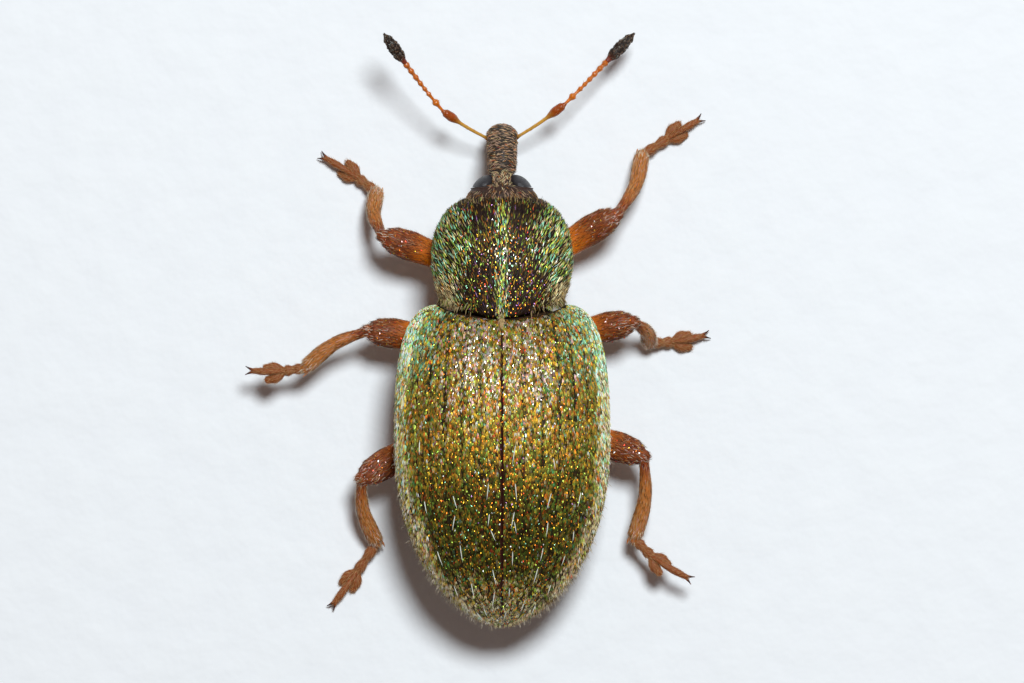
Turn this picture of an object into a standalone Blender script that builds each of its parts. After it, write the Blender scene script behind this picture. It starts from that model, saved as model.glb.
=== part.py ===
"""A black-beaked green weevil at life size, caught in a walking step.

The insect faces -Y, its left side is +X and +Z is up. Four feet stand on the floor, z = 0, and the left
middle and right hind foot are lifted. Sizes are in millimetres, laid out with x = 0 on the insect's
midline and y = 0 close to the base of the wing cases. The last step moves the whole insect so that the
origin is on the floor under the middle of its bounding box, and scales it to metres.
"""

import math
from collections import namedtuple

import bmesh
import bpy
from mathutils import Matrix, Vector

MM = 0.001  # a millimetre in metres
GAP = 0.012  # left between pieces that meet

# Wing cases: the outline seen from above, and the rise seen from the side
CASE_BASE_Y = -0.04
CASE_TIP_Y = 2.69
CASE_HALF_WIDTH = 0.91
CASE_WIDEST_Y = 1.04
CASE_HIGHEST_Y = 1.05
CASE_RISE = 0.76  # from the widest level up to the back
CASE_BASE_RISE = 0.52  # share of the rise that is left at the base
CASE_SHOULDER = 0.005  # the outline's front curve would close this far ahead of the base
CASE_FRONT_POWERS = (2.2, 7.5)
CASE_REAR_POWERS = (2.4, 1.6)
CASE_TOP_POWERS = (2.4, 1.7)
CASE_ROUNDING = 2.15  # power of the cross-section's arch
CASE_WALL = 0.07
CASE_EDGE_ANGLE = -20.0  # degrees below the widest level, where the side edge ends
WAIST_LEVEL_FRONT = 0.83  # height of the widest level at the base
WAIST_LEVEL_REAR = 0.66  # and at the tip
STRIAE = 10  # long shallow grooves on each case
STRIA_DEPTH = 0.012
CASE_ROWS = 20

# Body under the wing cases
BODY_INSET = CASE_WALL + 0.022  # the body's outline lies this far inside that of the wing cases
BELLY_DEPTH = 0.57  # from the widest level down to the belly
BELLY_ROUNDING = 2.3
BODY_SIDES = 28
ABDOMEN_START_Y = 1.10
BELLY_PLATES = 5
PLATE_STEP = 0.022  # each belly plate's hind edge stands this far over the next one
PLATE_RINGS = (0.03, 0.4, 0.97)  # where a plate's rings lie along it

# The small plate between the bases of the wing cases
SCUTELLUM_HALF_WIDTH = 0.050
SCUTELLUM_START_Y = 0.02
SCUTELLUM_TIP_Y = 0.175
SCUTELLUM_RISE = 0.012  # over the wing cases beside it
SCUTELLUM_RINGS = (0.0, 0.45, 0.8)
SCUTELLUM_EDGE = 0.8  # share of its thickness that its side edges have
SCUTELLUM_FOOT = 0.004  # its underside lies this far over the inside of the wing cases

# Pronotum, the shield behind the head
SHIELD_HALF_WIDTH = 0.591
SHIELD_WIDEST_Y = -0.4165
SHIELD_FRONT_Y = -0.925
SHIELD_REAR_Y = -0.04
SHIELD_FRONT_AXIS = 0.590  # half axes of the two half ovals of its outline
SHIELD_REAR_AXIS = 0.68
SHIELD_TALL_AXES = (0.70, 0.95)  # half axes of its height, which falls off less than its width
SHIELD_POWER = 2.2
SHIELD_LOBE = 0.125  # how far the middle of its hind edge reaches over the wing cases
SHIELD_RISE = 0.40
SHIELD_DROP = 0.40
SHIELD_LEVEL_FRONT = 0.79
SHIELD_LEVEL_REAR = 0.88
HIND_CUT_LEVELS = (0.3, 2.0)  # between these heights its hind outline is cut out of the wing cases
SHIELD_ROWS = 13
SHIELD_SIDES = 28

# Head, eyes and snout
HEAD_CENTRE = Vector((0.0, -0.744, 0.79))
HEAD_RADII = Vector((0.352, 0.357, 0.300))
HEAD_POWER = 2.3
EYE_PLACE = Vector((0.158, -1.030, 0.770))  # the left eye's centre
EYE_AZIMUTH = 45.0  # degrees from straight ahead to each side
EYE_RADII = Vector((0.120, 0.078, 0.175))  # along the head's surface, outwards, upright
SNOUT_PATH = (
    (0.0, -0.90, 0.85),
    (0.0, -1.10, 0.80),
    (0.0, -1.29, 0.64),
    (0.0, -1.42, 0.43),
    (0.0, -1.462, 0.19),
)
SNOUT_RADII = (
    (0.0, 0.115),
    (0.26, 0.106),
    (0.40, 0.124),
    (0.55, 0.130),
    (0.74, 0.128),
    (0.88, 0.139),
    (1.0, 0.108),
)
SNOUT_DEPTH = 0.90  # depth as a share of width
JAW_RADIUS = 0.030
JAW_LENGTH = 0.165
JAW_APART = 0.036  # from the middle of the snout to each jaw's root
GROOVE_RADIUS = 0.026  # the groove along each side of the snout that takes the feeler's base
GROOVE_SHARES = (0.38, 0.55, 0.72, 0.88)  # the groove's path, as shares of the snout's
GROOVE_OUT = 0.008  # its middle lies this far outside the snout's skin

# Feelers: base, elbow, base of the club and tip of the club
Feeler = namedtuple("Feeler", "base elbow club tip")
FEELERS = {
    "left": Feeler(
        (0.118, -1.440, 0.38),
        (0.500, -1.672, 0.57),
        (0.829, -2.088, 0.78),
        (1.000, -2.325, 0.86),
    ),
    "right": Feeler(
        (-0.118, -1.448, 0.38),
        (-0.532, -1.732, 0.49),
        (-0.897, -2.104, 0.44),
        (-1.122, -2.334, 0.40),
    ),
}
SCAPE_RADII = ((0.0, 0.020), (0.10, 0.013), (0.60, 0.015), (0.82, 0.040), (0.94, 0.036), (1.0, 0.018))
LONG_BEADS = ((0.30, 0.031, 0.012), (0.17, 0.021, 0.012))  # share of the stalk, radius, stem's radius
SMALL_BEADS = 5
SMALL_BEAD_RADII = (0.020, 0.028)
CLUB_RADIUS = 0.052
CLUB_RINGS = (0.34, 0.56, 0.76)

# Legs: the hip, the knee, the ankle, the lobed pad of the foot and the root of its claws
Leg = namedtuple("Leg", "hip knee ankle pad toe")
LEGS = {
    "front_left": Leg((0.15, -0.30, 0.41), (1.01, -0.610, 0.56), (1.070, -0.990, 0.13),
                      (1.271, -1.140, 0.036), (1.492, -1.270, 0.070)),
    "front_right": Leg((-0.15, -0.30, 0.41), (-0.975, -0.795, 0.54), (-1.194, -1.305, 0.13),
                       (-1.468, -1.480, 0.036), (-1.653, -1.590, 0.070)),
    "middle_left": Leg((0.33, 0.27, 0.41), (1.140, 0.195, 0.50), (1.680, 0.510, 0.42),
                       (1.900, 0.545, 0.40), (2.110, 0.535, 0.42)),
    "middle_right": Leg((-0.33, 0.27, 0.41), (-1.115, 0.120, 0.52), (-1.255, 0.300, 0.13),
                        (-1.505, 0.285, 0.036), (-1.700, 0.240, 0.070)),
    "hind_left": Leg((0.42, 0.97, 0.345), (1.195, 1.450, 0.48), (1.067, 2.000, 0.13),
                     (1.279, 2.310, 0.036), (1.420, 2.500, 0.070)),
    "hind_right": Leg((-0.42, 0.97, 0.345), (-1.205, 1.260, 0.50), (-1.126, 1.965, 0.29),
                      (-1.310, 2.150, 0.32), (-1.560, 2.285, 0.35)),
}
HIP_RADII = {
    "front": Vector((0.142, 0.150, 0.130)),
    "middle": Vector((0.135, 0.135, 0.115)),
    "hind": Vector((0.200, 0.110, 0.100)),
}
TROCHANTER_RADIUS = 0.078
TROCHANTER_SHARE = 0.20  # where the small joint lies between hip and knee
TROCHANTER_DROP = 0.045
THIGH_START = 0.12
THIGH_RADII = (
    (0.0, 0.055),
    (0.18, 0.078),
    (0.42, 0.116),
    (0.66, 0.130),
    (0.84, 0.120),
    (0.94, 0.094),
    (1.0, 0.060),
)
THIGH_DEPTH = 0.84
THIGH_SAG = 0.040
SHIN_RADII = ((0.0, 0.046), (0.12, 0.045), (0.45, 0.058), (0.75, 0.069), (0.94, 0.068), (1.0, 0.050))
SHIN_BOW = 0.05
SPUR_LENGTH = 0.055  # the small hook inside the end of each shin
FOOT_JOINTS = ((0.0, 0.42, 0.030, 0.045), (0.42, 0.78, 0.030, 0.047))  # start, end, radius at each
LOBE_LENGTH = 0.150
LOBE_RADIUS = 0.047
LOBE_SPREAD = 0.052
LOBE_DEPTH = 0.70
CLAW_STALK_RADII = ((0.0, 0.019), (0.75, 0.031), (1.0, 0.024))
CLAW_LENGTH = 0.080
CLAW_RADIUS = 0.015
CLAW_SPLAY = 26.0  # degrees to each side
CLAW_DROP = 0.045


def mix(low, high, share):
    return low + (high - low) * share


def arch(share, powers):
    """A rounded fall from 1 to 0 as share goes from 0 to 1, like the quarter of a superellipse."""
    return max(0.0, 1.0 - abs(share) ** powers[0]) ** (1.0 / powers[1])


def signed_power(value, power):
    return math.copysign(abs(value) ** power, value)


def profile(table, share):
    """A smooth value through (share, value) pairs, flat at each pair."""
    for (s0, v0), (s1, v1) in zip(table, table[1:]):
        if share <= s1:
            t = (share - s0) / (s1 - s0)
            return mix(v0, v1, t * t * (3.0 - 2.0 * t))
    return table[-1][1]


def curve_through(points, share):
    """A point on the smooth curve through the given points, share from 0 to 1."""
    points = [Vector(p) for p in points]
    spans = len(points) - 1
    at = min(share * spans, spans - 1e-9)
    i = int(at)
    t = at - i
    p1, p2 = points[i], points[i + 1]
    p0 = points[i - 1] if i > 0 else p1 * 2.0 - p2
    p3 = points[i + 2] if i + 2 <= spans else p2 * 2.0 - p1
    return 0.5 * (2.0 * p1 + (p2 - p0) * t + (2.0 * p0 - 5.0 * p1 + 4.0 * p2 - p3) * t ** 2
                  + (3.0 * p1 - p0 - 3.0 * p2 + p3) * t ** 3)


def new_object(name, bm):
    """A mesh object from a bmesh, with its faces turned outwards."""
    bmesh.ops.recalc_face_normals(bm, faces=bm.faces)
    mesh = bpy.data.meshes.new(name)
    bm.to_mesh(mesh)
    bm.free()
    mesh.shade_smooth()
    obj = bpy.data.objects.new(name, mesh)
    bpy.context.scene.collection.objects.link(obj)
    return obj


def loft(name, rings):
    """A closed skin over rings of points. A ring of one point is a pole, and an open end gets a cap."""
    bm = bmesh.new()
    rows = [[bm.verts.new(p) for p in ring] for ring in rings]
    for low, high in zip(rows, rows[1:]):
        count = max(len(low), len(high))
        for i in range(count):
            j = (i + 1) % count
            corners = [low[i % len(low)], low[j % len(low)], high[j % len(high)], high[i % len(high)]]
            bm.faces.new(list(dict.fromkeys(corners)))
    for end in (rows[0], rows[-1]):
        if len(end) > 1:
            bm.faces.new(end)
    return new_object(name, bm)


def ball(name, centre, radii, turn=None, grow=0.0, sides=14, rows=8, power=2.0):
    """An ellipsoid, squarer where the power is over 2, with poles along its own y axis."""
    turn = turn or Matrix.Identity(3)
    radii = Vector(radii) + Vector((grow, grow, grow))
    rings = []
    for row in range(rows + 1):
        along = -math.cos(math.pi * row / rows)
        if row in (0, rows):
            rings.append([centre + turn @ Vector((0.0, radii.y * along, 0.0))])
            continue
        swell = arch(along, (power, power))
        rings.append([
            centre + turn @ Vector((
                radii.x * swell * math.cos(2.0 * math.pi * i / sides),
                radii.y * along,
                radii.z * swell * math.sin(2.0 * math.pi * i / sides),
            ))
            for i in range(sides)
        ])
    return loft(name, rings)


def limb(name, path, radii, sides=10, steps=10, depth=1.0, grow=0.0, caps=(2, 2)):
    """A round-ended limb along a smooth path, with a radius that changes along it."""
    length = sum((curve_through(path, (i + 1) / 40) - curve_through(path, i / 40)).length for i in range(40))
    first, last = radii[0][1] + grow, radii[-1][1] + grow
    stations = []
    for i in range(caps[0]):
        turn = math.radians(90.0 * (i + 0.5) / caps[0])
        stations.append((0.0, -first * math.cos(turn), first * math.sin(turn)))
    for i in range(steps + 1):
        stations.append((i / steps, 0.0, profile(radii, i / steps) + grow))
    for i in reversed(range(caps[1])):
        turn = math.radians(90.0 * (i + 0.5) / caps[1])
        stations.append((1.0, last * math.cos(turn), last * math.sin(turn)))
    rings = []
    small = 0.5 / length * min(first, last)
    for share, past, radius in stations:
        ahead = curve_through(path, min(1.0, share + small)) - curve_through(path, max(0.0, share - small))
        ahead.normalize()
        side = ahead.cross(Vector((0.0, 0.0, 1.0))).normalized()
        up = side.cross(ahead)
        centre = curve_through(path, share) + ahead * past
        rings.append([
            centre + side * radius * math.cos(2.0 * math.pi * i / sides)
            + up * radius * depth * math.sin(2.0 * math.pi * i / sides)
            for i in range(sides)
        ])
    return loft(name, rings)


def block(name, centre, size):
    bm = bmesh.new()
    bmesh.ops.create_cube(bm, size=1.0)
    bmesh.ops.scale(bm, vec=Vector(size), verts=bm.verts)
    bmesh.ops.translate(bm, vec=Vector(centre), verts=bm.verts)
    return new_object(name, bm)


def apply_modifiers(obj):
    bpy.context.view_layer.update()
    graph = bpy.context.evaluated_depsgraph_get()
    mesh = bpy.data.meshes.new_from_object(obj.evaluated_get(graph), depsgraph=graph)
    obj.modifiers.clear()
    obj.data = mesh
    bpy.context.view_layer.update()


def keep_largest(obj):
    """Leaves only the largest closed surface of an object."""
    bm = bmesh.new()
    bm.from_mesh(obj.data)
    left = set(bm.faces)
    pieces = []
    while left:
        piece = set()
        edge = [left.pop()]
        while edge:
            face = edge.pop()
            piece.add(face)
            for other in (f for e in face.edges for f in e.link_faces):
                if other in left:
                    left.discard(other)
                    edge.append(other)
        pieces.append(piece)
    pieces.sort(key=lambda faces: sum(f.calc_area() for f in faces))
    spare = [f for piece in pieces[:-1] for f in piece]
    bmesh.ops.delete(bm, geom=spare, context="FACES")
    bm.to_mesh(obj.data)
    bm.free()
    return obj


def carve(obj, *cutters):
    """Cuts the cutters out of an object and removes them."""
    for cutter in cutters:
        cut = obj.modifiers.new("cut", "BOOLEAN")
        cut.operation = "DIFFERENCE"
        cut.solver = "EXACT"
        cut.object = cutter
        apply_modifiers(obj)
        bpy.data.objects.remove(cutter)
    return keep_largest(obj)


def fuse(name, pieces):
    """Joins closed pieces that overlap into one."""
    first, rest = pieces[0], pieces[1:]
    group = bpy.data.collections.new(name + "_pieces")
    for piece in rest:
        group.objects.link(piece)
    join = first.modifiers.new("join", "BOOLEAN")
    join.operation = "UNION"
    join.solver = "EXACT"
    join.operand_type = "COLLECTION"
    join.collection = group
    apply_modifiers(first)
    for piece in rest:
        bpy.data.objects.remove(piece)
    bpy.data.collections.remove(group)
    first.name = name
    return keep_largest(first)


def waist_level(y):
    return mix(WAIST_LEVEL_FRONT, WAIST_LEVEL_REAR, min(1.0, max(0.0, y / CASE_TIP_Y)) ** 2)


def case_section(y, inset):
    """Half width, rise and depth of the hind body at y, its walls moved in by inset."""
    tip = CASE_TIP_Y - inset
    if y < CASE_WIDEST_Y:
        reach = CASE_WIDEST_Y - CASE_BASE_Y + CASE_SHOULDER
        width = arch((CASE_WIDEST_Y - y) / reach, CASE_FRONT_POWERS)
    else:
        width = arch((y - CASE_WIDEST_Y) / (tip - CASE_WIDEST_Y), CASE_REAR_POWERS)
    if y < CASE_HIGHEST_Y:
        share = (CASE_HIGHEST_Y - y) / (CASE_HIGHEST_Y - CASE_BASE_Y)
        rise = 1.0 - (1.0 - CASE_BASE_RISE) * share ** 2
    else:
        rise = arch((y - CASE_HIGHEST_Y) / (tip - CASE_HIGHEST_Y), CASE_TOP_POWERS)
    return (CASE_HALF_WIDTH - inset) * width, (CASE_RISE - inset) * rise, (BELLY_DEPTH - inset) * rise


def case_point(y, angle, inset, dent=0.0):
    """A point on the hind body: angle in degrees, 90 on the back, 0 at the side, -90 on the belly."""
    width, rise, depth = case_section(y, inset)
    a = math.radians(angle)
    height, power = (rise, CASE_ROUNDING) if angle >= 0.0 else (depth, BELLY_ROUNDING)
    shrink = 1.0 - dent * min(1.0, width / (0.5 * CASE_HALF_WIDTH))
    across = signed_power(math.cos(a), 2.0 / power)
    up = signed_power(math.sin(a), 2.0 / power)
    return Vector((width * across * shrink, y, waist_level(y) + height * up * shrink))


def case_y(row, inset):
    """Spaces the rows closer at both ends, where the outline turns fast."""
    share = 0.5 - 0.5 * math.cos(math.pi * row / CASE_ROWS)
    return mix(CASE_BASE_Y, CASE_TIP_Y - inset, share)


def wing_case(name, side):
    """One wing case: a curved shell from the seam to the side edge, open below, with long grooves on it."""
    columns = 2 * STRIAE + 1
    bm = bmesh.new()
    layers = []
    for inset in (0.0, CASE_WALL):
        rows = []
        for row in range(CASE_ROWS):
            line = []
            for column in range(columns + 1):
                angle = mix(90.0, CASE_EDGE_ANGLE, column / columns)
                dent = STRIA_DEPTH if inset == 0.0 and column % 2 == 0 and 0 < column < columns else 0.0
                p = case_point(case_y(row, inset), angle, inset, dent)
                p.x = side * (GAP / 2.0 + max(0.0, p.x))
                line.append(bm.verts.new(p))
            rows.append(line)
        tip = case_point(CASE_TIP_Y - inset, 0.0, inset)
        pole = bm.verts.new((side * GAP / 2.0, tip.y, tip.z))
        rows.append([pole] * (columns + 1))
        layers.append(rows)

    def add_face(*corners):
        corners = list(dict.fromkeys(corners))
        if len(corners) > 2:
            bm.faces.new(corners)

    outer, inner = layers
    for rows in layers:
        for low, high in zip(rows, rows[1:]):
            for i in range(columns):
                add_face(low[i], low[i + 1], high[i + 1], high[i])
    for row in range(CASE_ROWS):
        for column in (0, columns):
            add_face(outer[row][column], outer[row + 1][column], inner[row + 1][column], inner[row][column])
    for i in range(columns):
        add_face(outer[0][i], outer[0][i + 1], inner[0][i + 1], inner[0][i])
    return new_object(name, bm)


def hind_body(name, grow=0.0, plates=False):
    """Thorax and abdomen in one, filling the wing cases. Belly plates overlap like roof tiles."""
    inset = BODY_INSET - grow
    rings = []
    end = CASE_TIP_Y - inset
    plate_length = (end - ABDOMEN_START_Y) / BELLY_PLATES
    ys = [case_y(row, inset) for row in range(CASE_ROWS)]
    if plates:
        ys = [ABDOMEN_START_Y + GAP / 2.0]
        for i in range(BELLY_PLATES):
            start = ABDOMEN_START_Y + i * plate_length
            ys += [start + plate_length * s for s in PLATE_RINGS if i or s > PLATE_RINGS[0]]
    for y in ys:
        plate_share = ((y - ABDOMEN_START_Y) / plate_length) % 1.0
        ring = []
        for i in range(BODY_SIDES):
            turn = 360.0 * i / BODY_SIDES
            angle = turn if turn <= 180.0 else turn - 360.0
            p = case_point(y, angle, inset)
            if plates and angle < 0.0:
                room = min(1.0, 4.0 * (end - y))
                p.z += PLATE_STEP * room * (1.0 - plate_share) * math.sin(math.radians(-angle))
            ring.append(p)
        rings.append(ring)
    tip = case_point(end, 0.0, inset)
    rings.append([Vector((0.0, tip.y, tip.z))])
    return loft(name, rings)


def scutellum(name, grow=0.0):
    """The small pointed plate between the bases of the wing cases."""
    rings = []
    for share in SCUTELLUM_RINGS:
        y = mix(SCUTELLUM_START_Y, SCUTELLUM_TIP_Y, share)
        half = SCUTELLUM_HALF_WIDTH * (1.0 - share ** 1.5) + grow
        top = case_point(y, 90.0, 0.0).z + SCUTELLUM_RISE + grow
        low = case_point(y, 90.0, CASE_WALL).z + SCUTELLUM_FOOT - grow
        edge = mix(low, top, SCUTELLUM_EDGE)
        start = y - (grow if share == 0.0 else 0.0)
        corners = ((-1.0, low), (1.0, low), (1.0, edge), (0.5, top), (-0.5, top), (-1.0, edge))
        rings.append([Vector((x * half, start, z)) for x, z in corners])
    tip = case_point(SCUTELLUM_TIP_Y, 90.0, 0.5 * CASE_WALL)
    rings.append([Vector((0.0, SCUTELLUM_TIP_Y + grow, tip.z))])
    return loft(name, rings)


def shield(name, grow=0.0):
    """The pronotum with the breast below it, as one barrel whose hind edge arches back."""
    rings = []
    for row in range(SHIELD_ROWS + 1):
        share = row / SHIELD_ROWS
        y = mix(SHIELD_FRONT_Y - grow, SHIELD_REAR_Y + grow, share)
        axis = SHIELD_FRONT_AXIS if y < SHIELD_WIDEST_Y else SHIELD_REAR_AXIS
        swell = arch((y - SHIELD_WIDEST_Y) / axis, (SHIELD_POWER, SHIELD_POWER))
        tall_axis = SHIELD_TALL_AXES[0] if y < SHIELD_WIDEST_Y else SHIELD_TALL_AXES[1]
        tall_swell = arch((y - SHIELD_WIDEST_Y) / tall_axis, (SHIELD_POWER, SHIELD_POWER))
        level = mix(SHIELD_LEVEL_FRONT, SHIELD_LEVEL_REAR, share)
        ring = []
        for i in range(SHIELD_SIDES):
            turn = 2.0 * math.pi * i / SHIELD_SIDES
            across, up = math.cos(turn), math.sin(turn)
            height = SHIELD_RISE if up > 0.0 else SHIELD_DROP
            lobe = SHIELD_LOBE * share ** 4 * max(0.0, up) * (1.0 - across ** 2)
            ring.append(Vector((
                (SHIELD_HALF_WIDTH * swell + grow) * across,
                y + lobe,
                level + (height * tall_swell + grow) * up,
            )))
        rings.append(ring)
    front = Vector((0.0, SHIELD_FRONT_Y - grow, SHIELD_LEVEL_FRONT))
    rear = Vector((0.0, SHIELD_REAR_Y + grow, SHIELD_LEVEL_REAR))
    return loft(name, [[front], *rings, [rear]])


def hind_edge_cutter():
    """An upright block in the outline of the pronotum's hind half, with a gap round its arched hind edge."""
    rear = SHIELD_REAR_Y + GAP
    swell = arch((rear - SHIELD_WIDEST_Y) / SHIELD_REAR_AXIS, (SHIELD_POWER, SHIELD_POWER))
    width = SHIELD_HALF_WIDTH * swell + GAP
    outline = []
    for i in range(SHIELD_SIDES // 2 + 1):
        turn = 2.0 * math.pi * i / SHIELD_SIDES
        outline.append((width * math.cos(turn), rear + SHIELD_LOBE * math.sin(turn) ** 3))
    outline += [(-width, SHIELD_WIDEST_Y), (width, SHIELD_WIDEST_Y)]
    rings = [[Vector((x, y, z)) for x, y in outline] for z in HIND_CUT_LEVELS]
    return loft("cutter", rings)


def head(name, grow=0.0):
    return ball(name, HEAD_CENTRE, HEAD_RADII, grow=grow, sides=22, rows=14, power=HEAD_POWER)


def eye(name, side, grow=0.0):
    turn = Matrix.Rotation(math.radians(EYE_AZIMUTH) * side, 3, "Z")
    centre = Vector((EYE_PLACE.x * side, EYE_PLACE.y, EYE_PLACE.z))
    return ball(name, centre, EYE_RADII, turn, grow, sides=16, rows=8)


def snout(name, grow=0.0):
    return limb(name, SNOUT_PATH, SNOUT_RADII, sides=14, steps=12, depth=SNOUT_DEPTH, grow=grow, caps=(1, 2))


def jaw(side):
    root = curve_through(SNOUT_PATH, 0.97) + Vector((side * JAW_APART, 0.0, 0.0))
    tip = root + Vector((side * -0.020, -0.012, -JAW_LENGTH))
    return limb("jaw", (root, mix(root, tip, 0.6) + Vector((side * 0.018, 0.0, 0.0)), tip),
                ((0.0, JAW_RADIUS), (0.6, JAW_RADIUS), (1.0, 0.010)), sides=6, steps=4, caps=(1, 1))


def groove(side):
    """A cutter for the groove that runs back along the snout's side from the feeler's base to the eye."""
    points = []
    for share in GROOVE_SHARES:
        p = curve_through(SNOUT_PATH, share)
        p.x = side * (profile(SNOUT_RADII, share) + GROOVE_OUT)
        points.append(p)
    radii = ((0.0, GROOVE_RADIUS * 0.6), (1.0, GROOVE_RADIUS))
    return limb("groove", points, radii, sides=8, steps=6, caps=(1, 1))


def scape(name, feeler, grow=0.0):
    base, elbow = Vector(feeler.base), Vector(feeler.elbow)
    middle = mix(base, elbow, 0.5) + Vector((0.0, 0.012, 0.010))
    return limb(name, (base, middle, elbow), SCAPE_RADII, sides=8, steps=10, grow=grow, caps=(1, 1))


def bead_radii():
    """The stalk's radius along it: two long beads on thin stems, then a row of small round ones."""
    table = []
    start = 0.0
    for length, radius, stem in LONG_BEADS:
        table += [(start, stem), (start + length * 0.40, stem * 1.15), (start + length * 0.74, radius)]
        start += length
    length = (1.0 - start) / SMALL_BEADS
    for i in range(SMALL_BEADS):
        radius = mix(SMALL_BEAD_RADII[0], SMALL_BEAD_RADII[1], i / (SMALL_BEADS - 1))
        table += [(start, radius * 0.68), (start + length * 0.55, radius)]
        start += length
    return table + [(1.0, SMALL_BEAD_RADII[1] * 0.7)]


def stalk(name, feeler, grow=0.0):
    """The row of beads between the elbow and the club."""
    start, end = Vector(feeler.elbow), Vector(feeler.club)
    bend = mix(start, end, 0.4) + Vector((math.copysign(-0.016, start.x), -0.012, 0.0))
    return limb(name, (start, bend, end), bead_radii(), sides=7, steps=28, grow=grow, caps=(1, 1))


def club(name, feeler, grow=0.0):
    """The club: a spindle with rings around it and a point."""
    start, end = Vector(feeler.club), Vector(feeler.tip)
    table = [(0.0, 0.022)]
    for ring in CLUB_RINGS:
        swell = CLUB_RADIUS * math.sin(math.pi * (ring * 0.88 + 0.06)) ** 0.8
        table += [(ring - 0.06, swell), (ring, swell * 0.92), (ring + 0.03, swell * 0.97)]
    table.append((1.0, 0.010))
    return limb(name, (start, end), table, sides=9, steps=16, grow=grow, caps=(1, 1))


def hip(name, place, grow=0.0):
    return ball(name, Vector(LEGS[place].hip), HIP_RADII[place.split("_")[0]], grow=grow, sides=12, rows=7)


def thigh(name, leg, grow=0.0):
    start = mix(Vector(leg.hip), Vector(leg.knee), THIGH_START)
    end = Vector(leg.knee)
    middle = mix(start, end, 0.55) - Vector((0.0, 0.0, THIGH_SAG))
    return limb(name, (start, middle, end), THIGH_RADII, sides=12, steps=10, depth=THIGH_DEPTH, grow=grow,
                caps=(1, 2))


def thigh_with_joint(name, leg):
    """The thigh with the small joint at its root."""
    centre = mix(Vector(leg.hip), Vector(leg.knee), TROCHANTER_SHARE) - Vector((0.0, 0.0, TROCHANTER_DROP))
    radii = (TROCHANTER_RADIUS, TROCHANTER_RADIUS, TROCHANTER_RADIUS * 0.9)
    return fuse(name, [thigh(name, leg), ball("joint", centre, radii, sides=8, rows=6)])


def shin_path(leg):
    start, end = Vector(leg.knee), Vector(leg.ankle)
    along = (end - start).normalized()
    out = Vector((start.x, 0.0, 0.0)).normalized()
    bow = (out - along * out.dot(along)).normalized() * SHIN_BOW
    start -= along * 0.015
    return start, mix(start, end, 0.5) + bow, end


def shin(name, leg, grow=0.0):
    return limb(name, shin_path(leg), SHIN_RADII, sides=9, steps=8, grow=grow, caps=(2, 1))


def shin_with_spur(name, leg):
    start, middle, end = shin_path(leg)
    along = (end - middle).normalized()
    inward = Vector((-start.x, 0.0, 0.0)).normalized()
    inward = (inward - along * inward.dot(along)).normalized()
    root = end - along * 0.02 + inward * 0.030
    tip = end + along * SPUR_LENGTH + inward * 0.050
    path = (root, mix(root, tip, 0.6) + inward * 0.006, tip)
    spur = limb("spur", path, ((0.0, 0.016), (1.0, 0.005)), sides=5, steps=3, caps=(1, 1))
    return fuse(name, [shin(name, leg), spur])


def foot(name, leg):
    """Two short joints, the lobed pad, the claw joint and two claws, flat below where they stand."""
    ankle, pad, toe = Vector(leg.ankle), Vector(leg.pad), Vector(leg.toe)
    ahead = (pad - ankle).normalized()
    side = ahead.cross(Vector((0.0, 0.0, 1.0))).normalized()
    onward = (toe - pad).normalized()
    start = ankle - ahead * 0.015
    pieces = []
    for low, high, narrow, wide in FOOT_JOINTS:
        pieces.append(limb("joint", (mix(start, pad, low), mix(start, pad, high)),
                           ((0.0, narrow), (0.75, wide), (1.0, wide * 0.8)), sides=7, steps=3, depth=0.85,
                           caps=(1, 1)))
    third = mix(start, pad, FOOT_JOINTS[-1][1])
    for way in (-1.0, 1.0):
        lobe_end = third + ahead * LOBE_LENGTH + side * way * LOBE_SPREAD
        lobe_end.z = pad.z
        pieces.append(limb("lobe", (third, mix(third, lobe_end, 0.5) + side * way * 0.012, lobe_end),
                           ((0.0, 0.028), (0.6, LOBE_RADIUS), (1.0, LOBE_RADIUS * 0.7)), sides=7, steps=3,
                           depth=LOBE_DEPTH, caps=(1, 1)))
    stalk_top = mix(pad, toe, 0.4) + Vector((0.0, 0.0, 0.030))
    pieces.append(limb("claw_joint", (third + Vector((0.0, 0.0, 0.014)), stalk_top, toe), CLAW_STALK_RADII,
                       sides=7, steps=4, caps=(1, 1)))
    for way in (-1.0, 1.0):
        splay = Matrix.Rotation(math.radians(CLAW_SPLAY * way), 3, "Z") @ onward
        tip = toe + splay * CLAW_LENGTH - Vector((0.0, 0.0, CLAW_DROP))
        bend = mix(toe, tip, 0.55) + Vector((0.0, 0.0, 0.020))
        pieces.append(limb("claw", (toe - onward * 0.012, bend, tip), ((0.0, CLAW_RADIUS), (1.0, 0.005)),
                           sides=5, steps=4, caps=(1, 1)))
    return carve(fuse(name, pieces), block("floor", (pad.x, pad.y, -0.5), (2.0, 2.0, 1.0)))


def colour(obj, name, rgb, roughness, metallic=0.0):
    """Gives an object a plain material, made once for each name."""
    material = bpy.data.materials.get(name)
    if material is None:
        material = bpy.data.materials.new(name)
        material.use_nodes = True
        shader = material.node_tree.nodes["Principled BSDF"]
        shader.inputs["Base Color"].default_value = (*rgb, 1.0)
        shader.inputs["Roughness"].default_value = roughness
        shader.inputs["Metallic"].default_value = metallic
    obj.data.materials.clear()
    obj.data.materials.append(material)


GREEN = ("green_scales", (0.19, 0.17, 0.055), 0.42, 0.35)
SHIELD_GREEN = ("shield_scales", (0.15, 0.14, 0.06), 0.45, 0.35)
PALE = ("pale_scales", (0.45, 0.40, 0.25), 0.5, 0.2)
BLACK = ("black_beak", (0.045, 0.038, 0.032), 0.5)
EYE_BLACK = ("eye", (0.02, 0.02, 0.025), 0.25)
RUSSET = ("russet_leg", (0.33, 0.11, 0.03), 0.45)
DARK_CLUB = ("dark_club", (0.05, 0.03, 0.025), 0.6)
BELLY_BROWN = ("belly", (0.10, 0.075, 0.045), 0.6)


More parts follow.
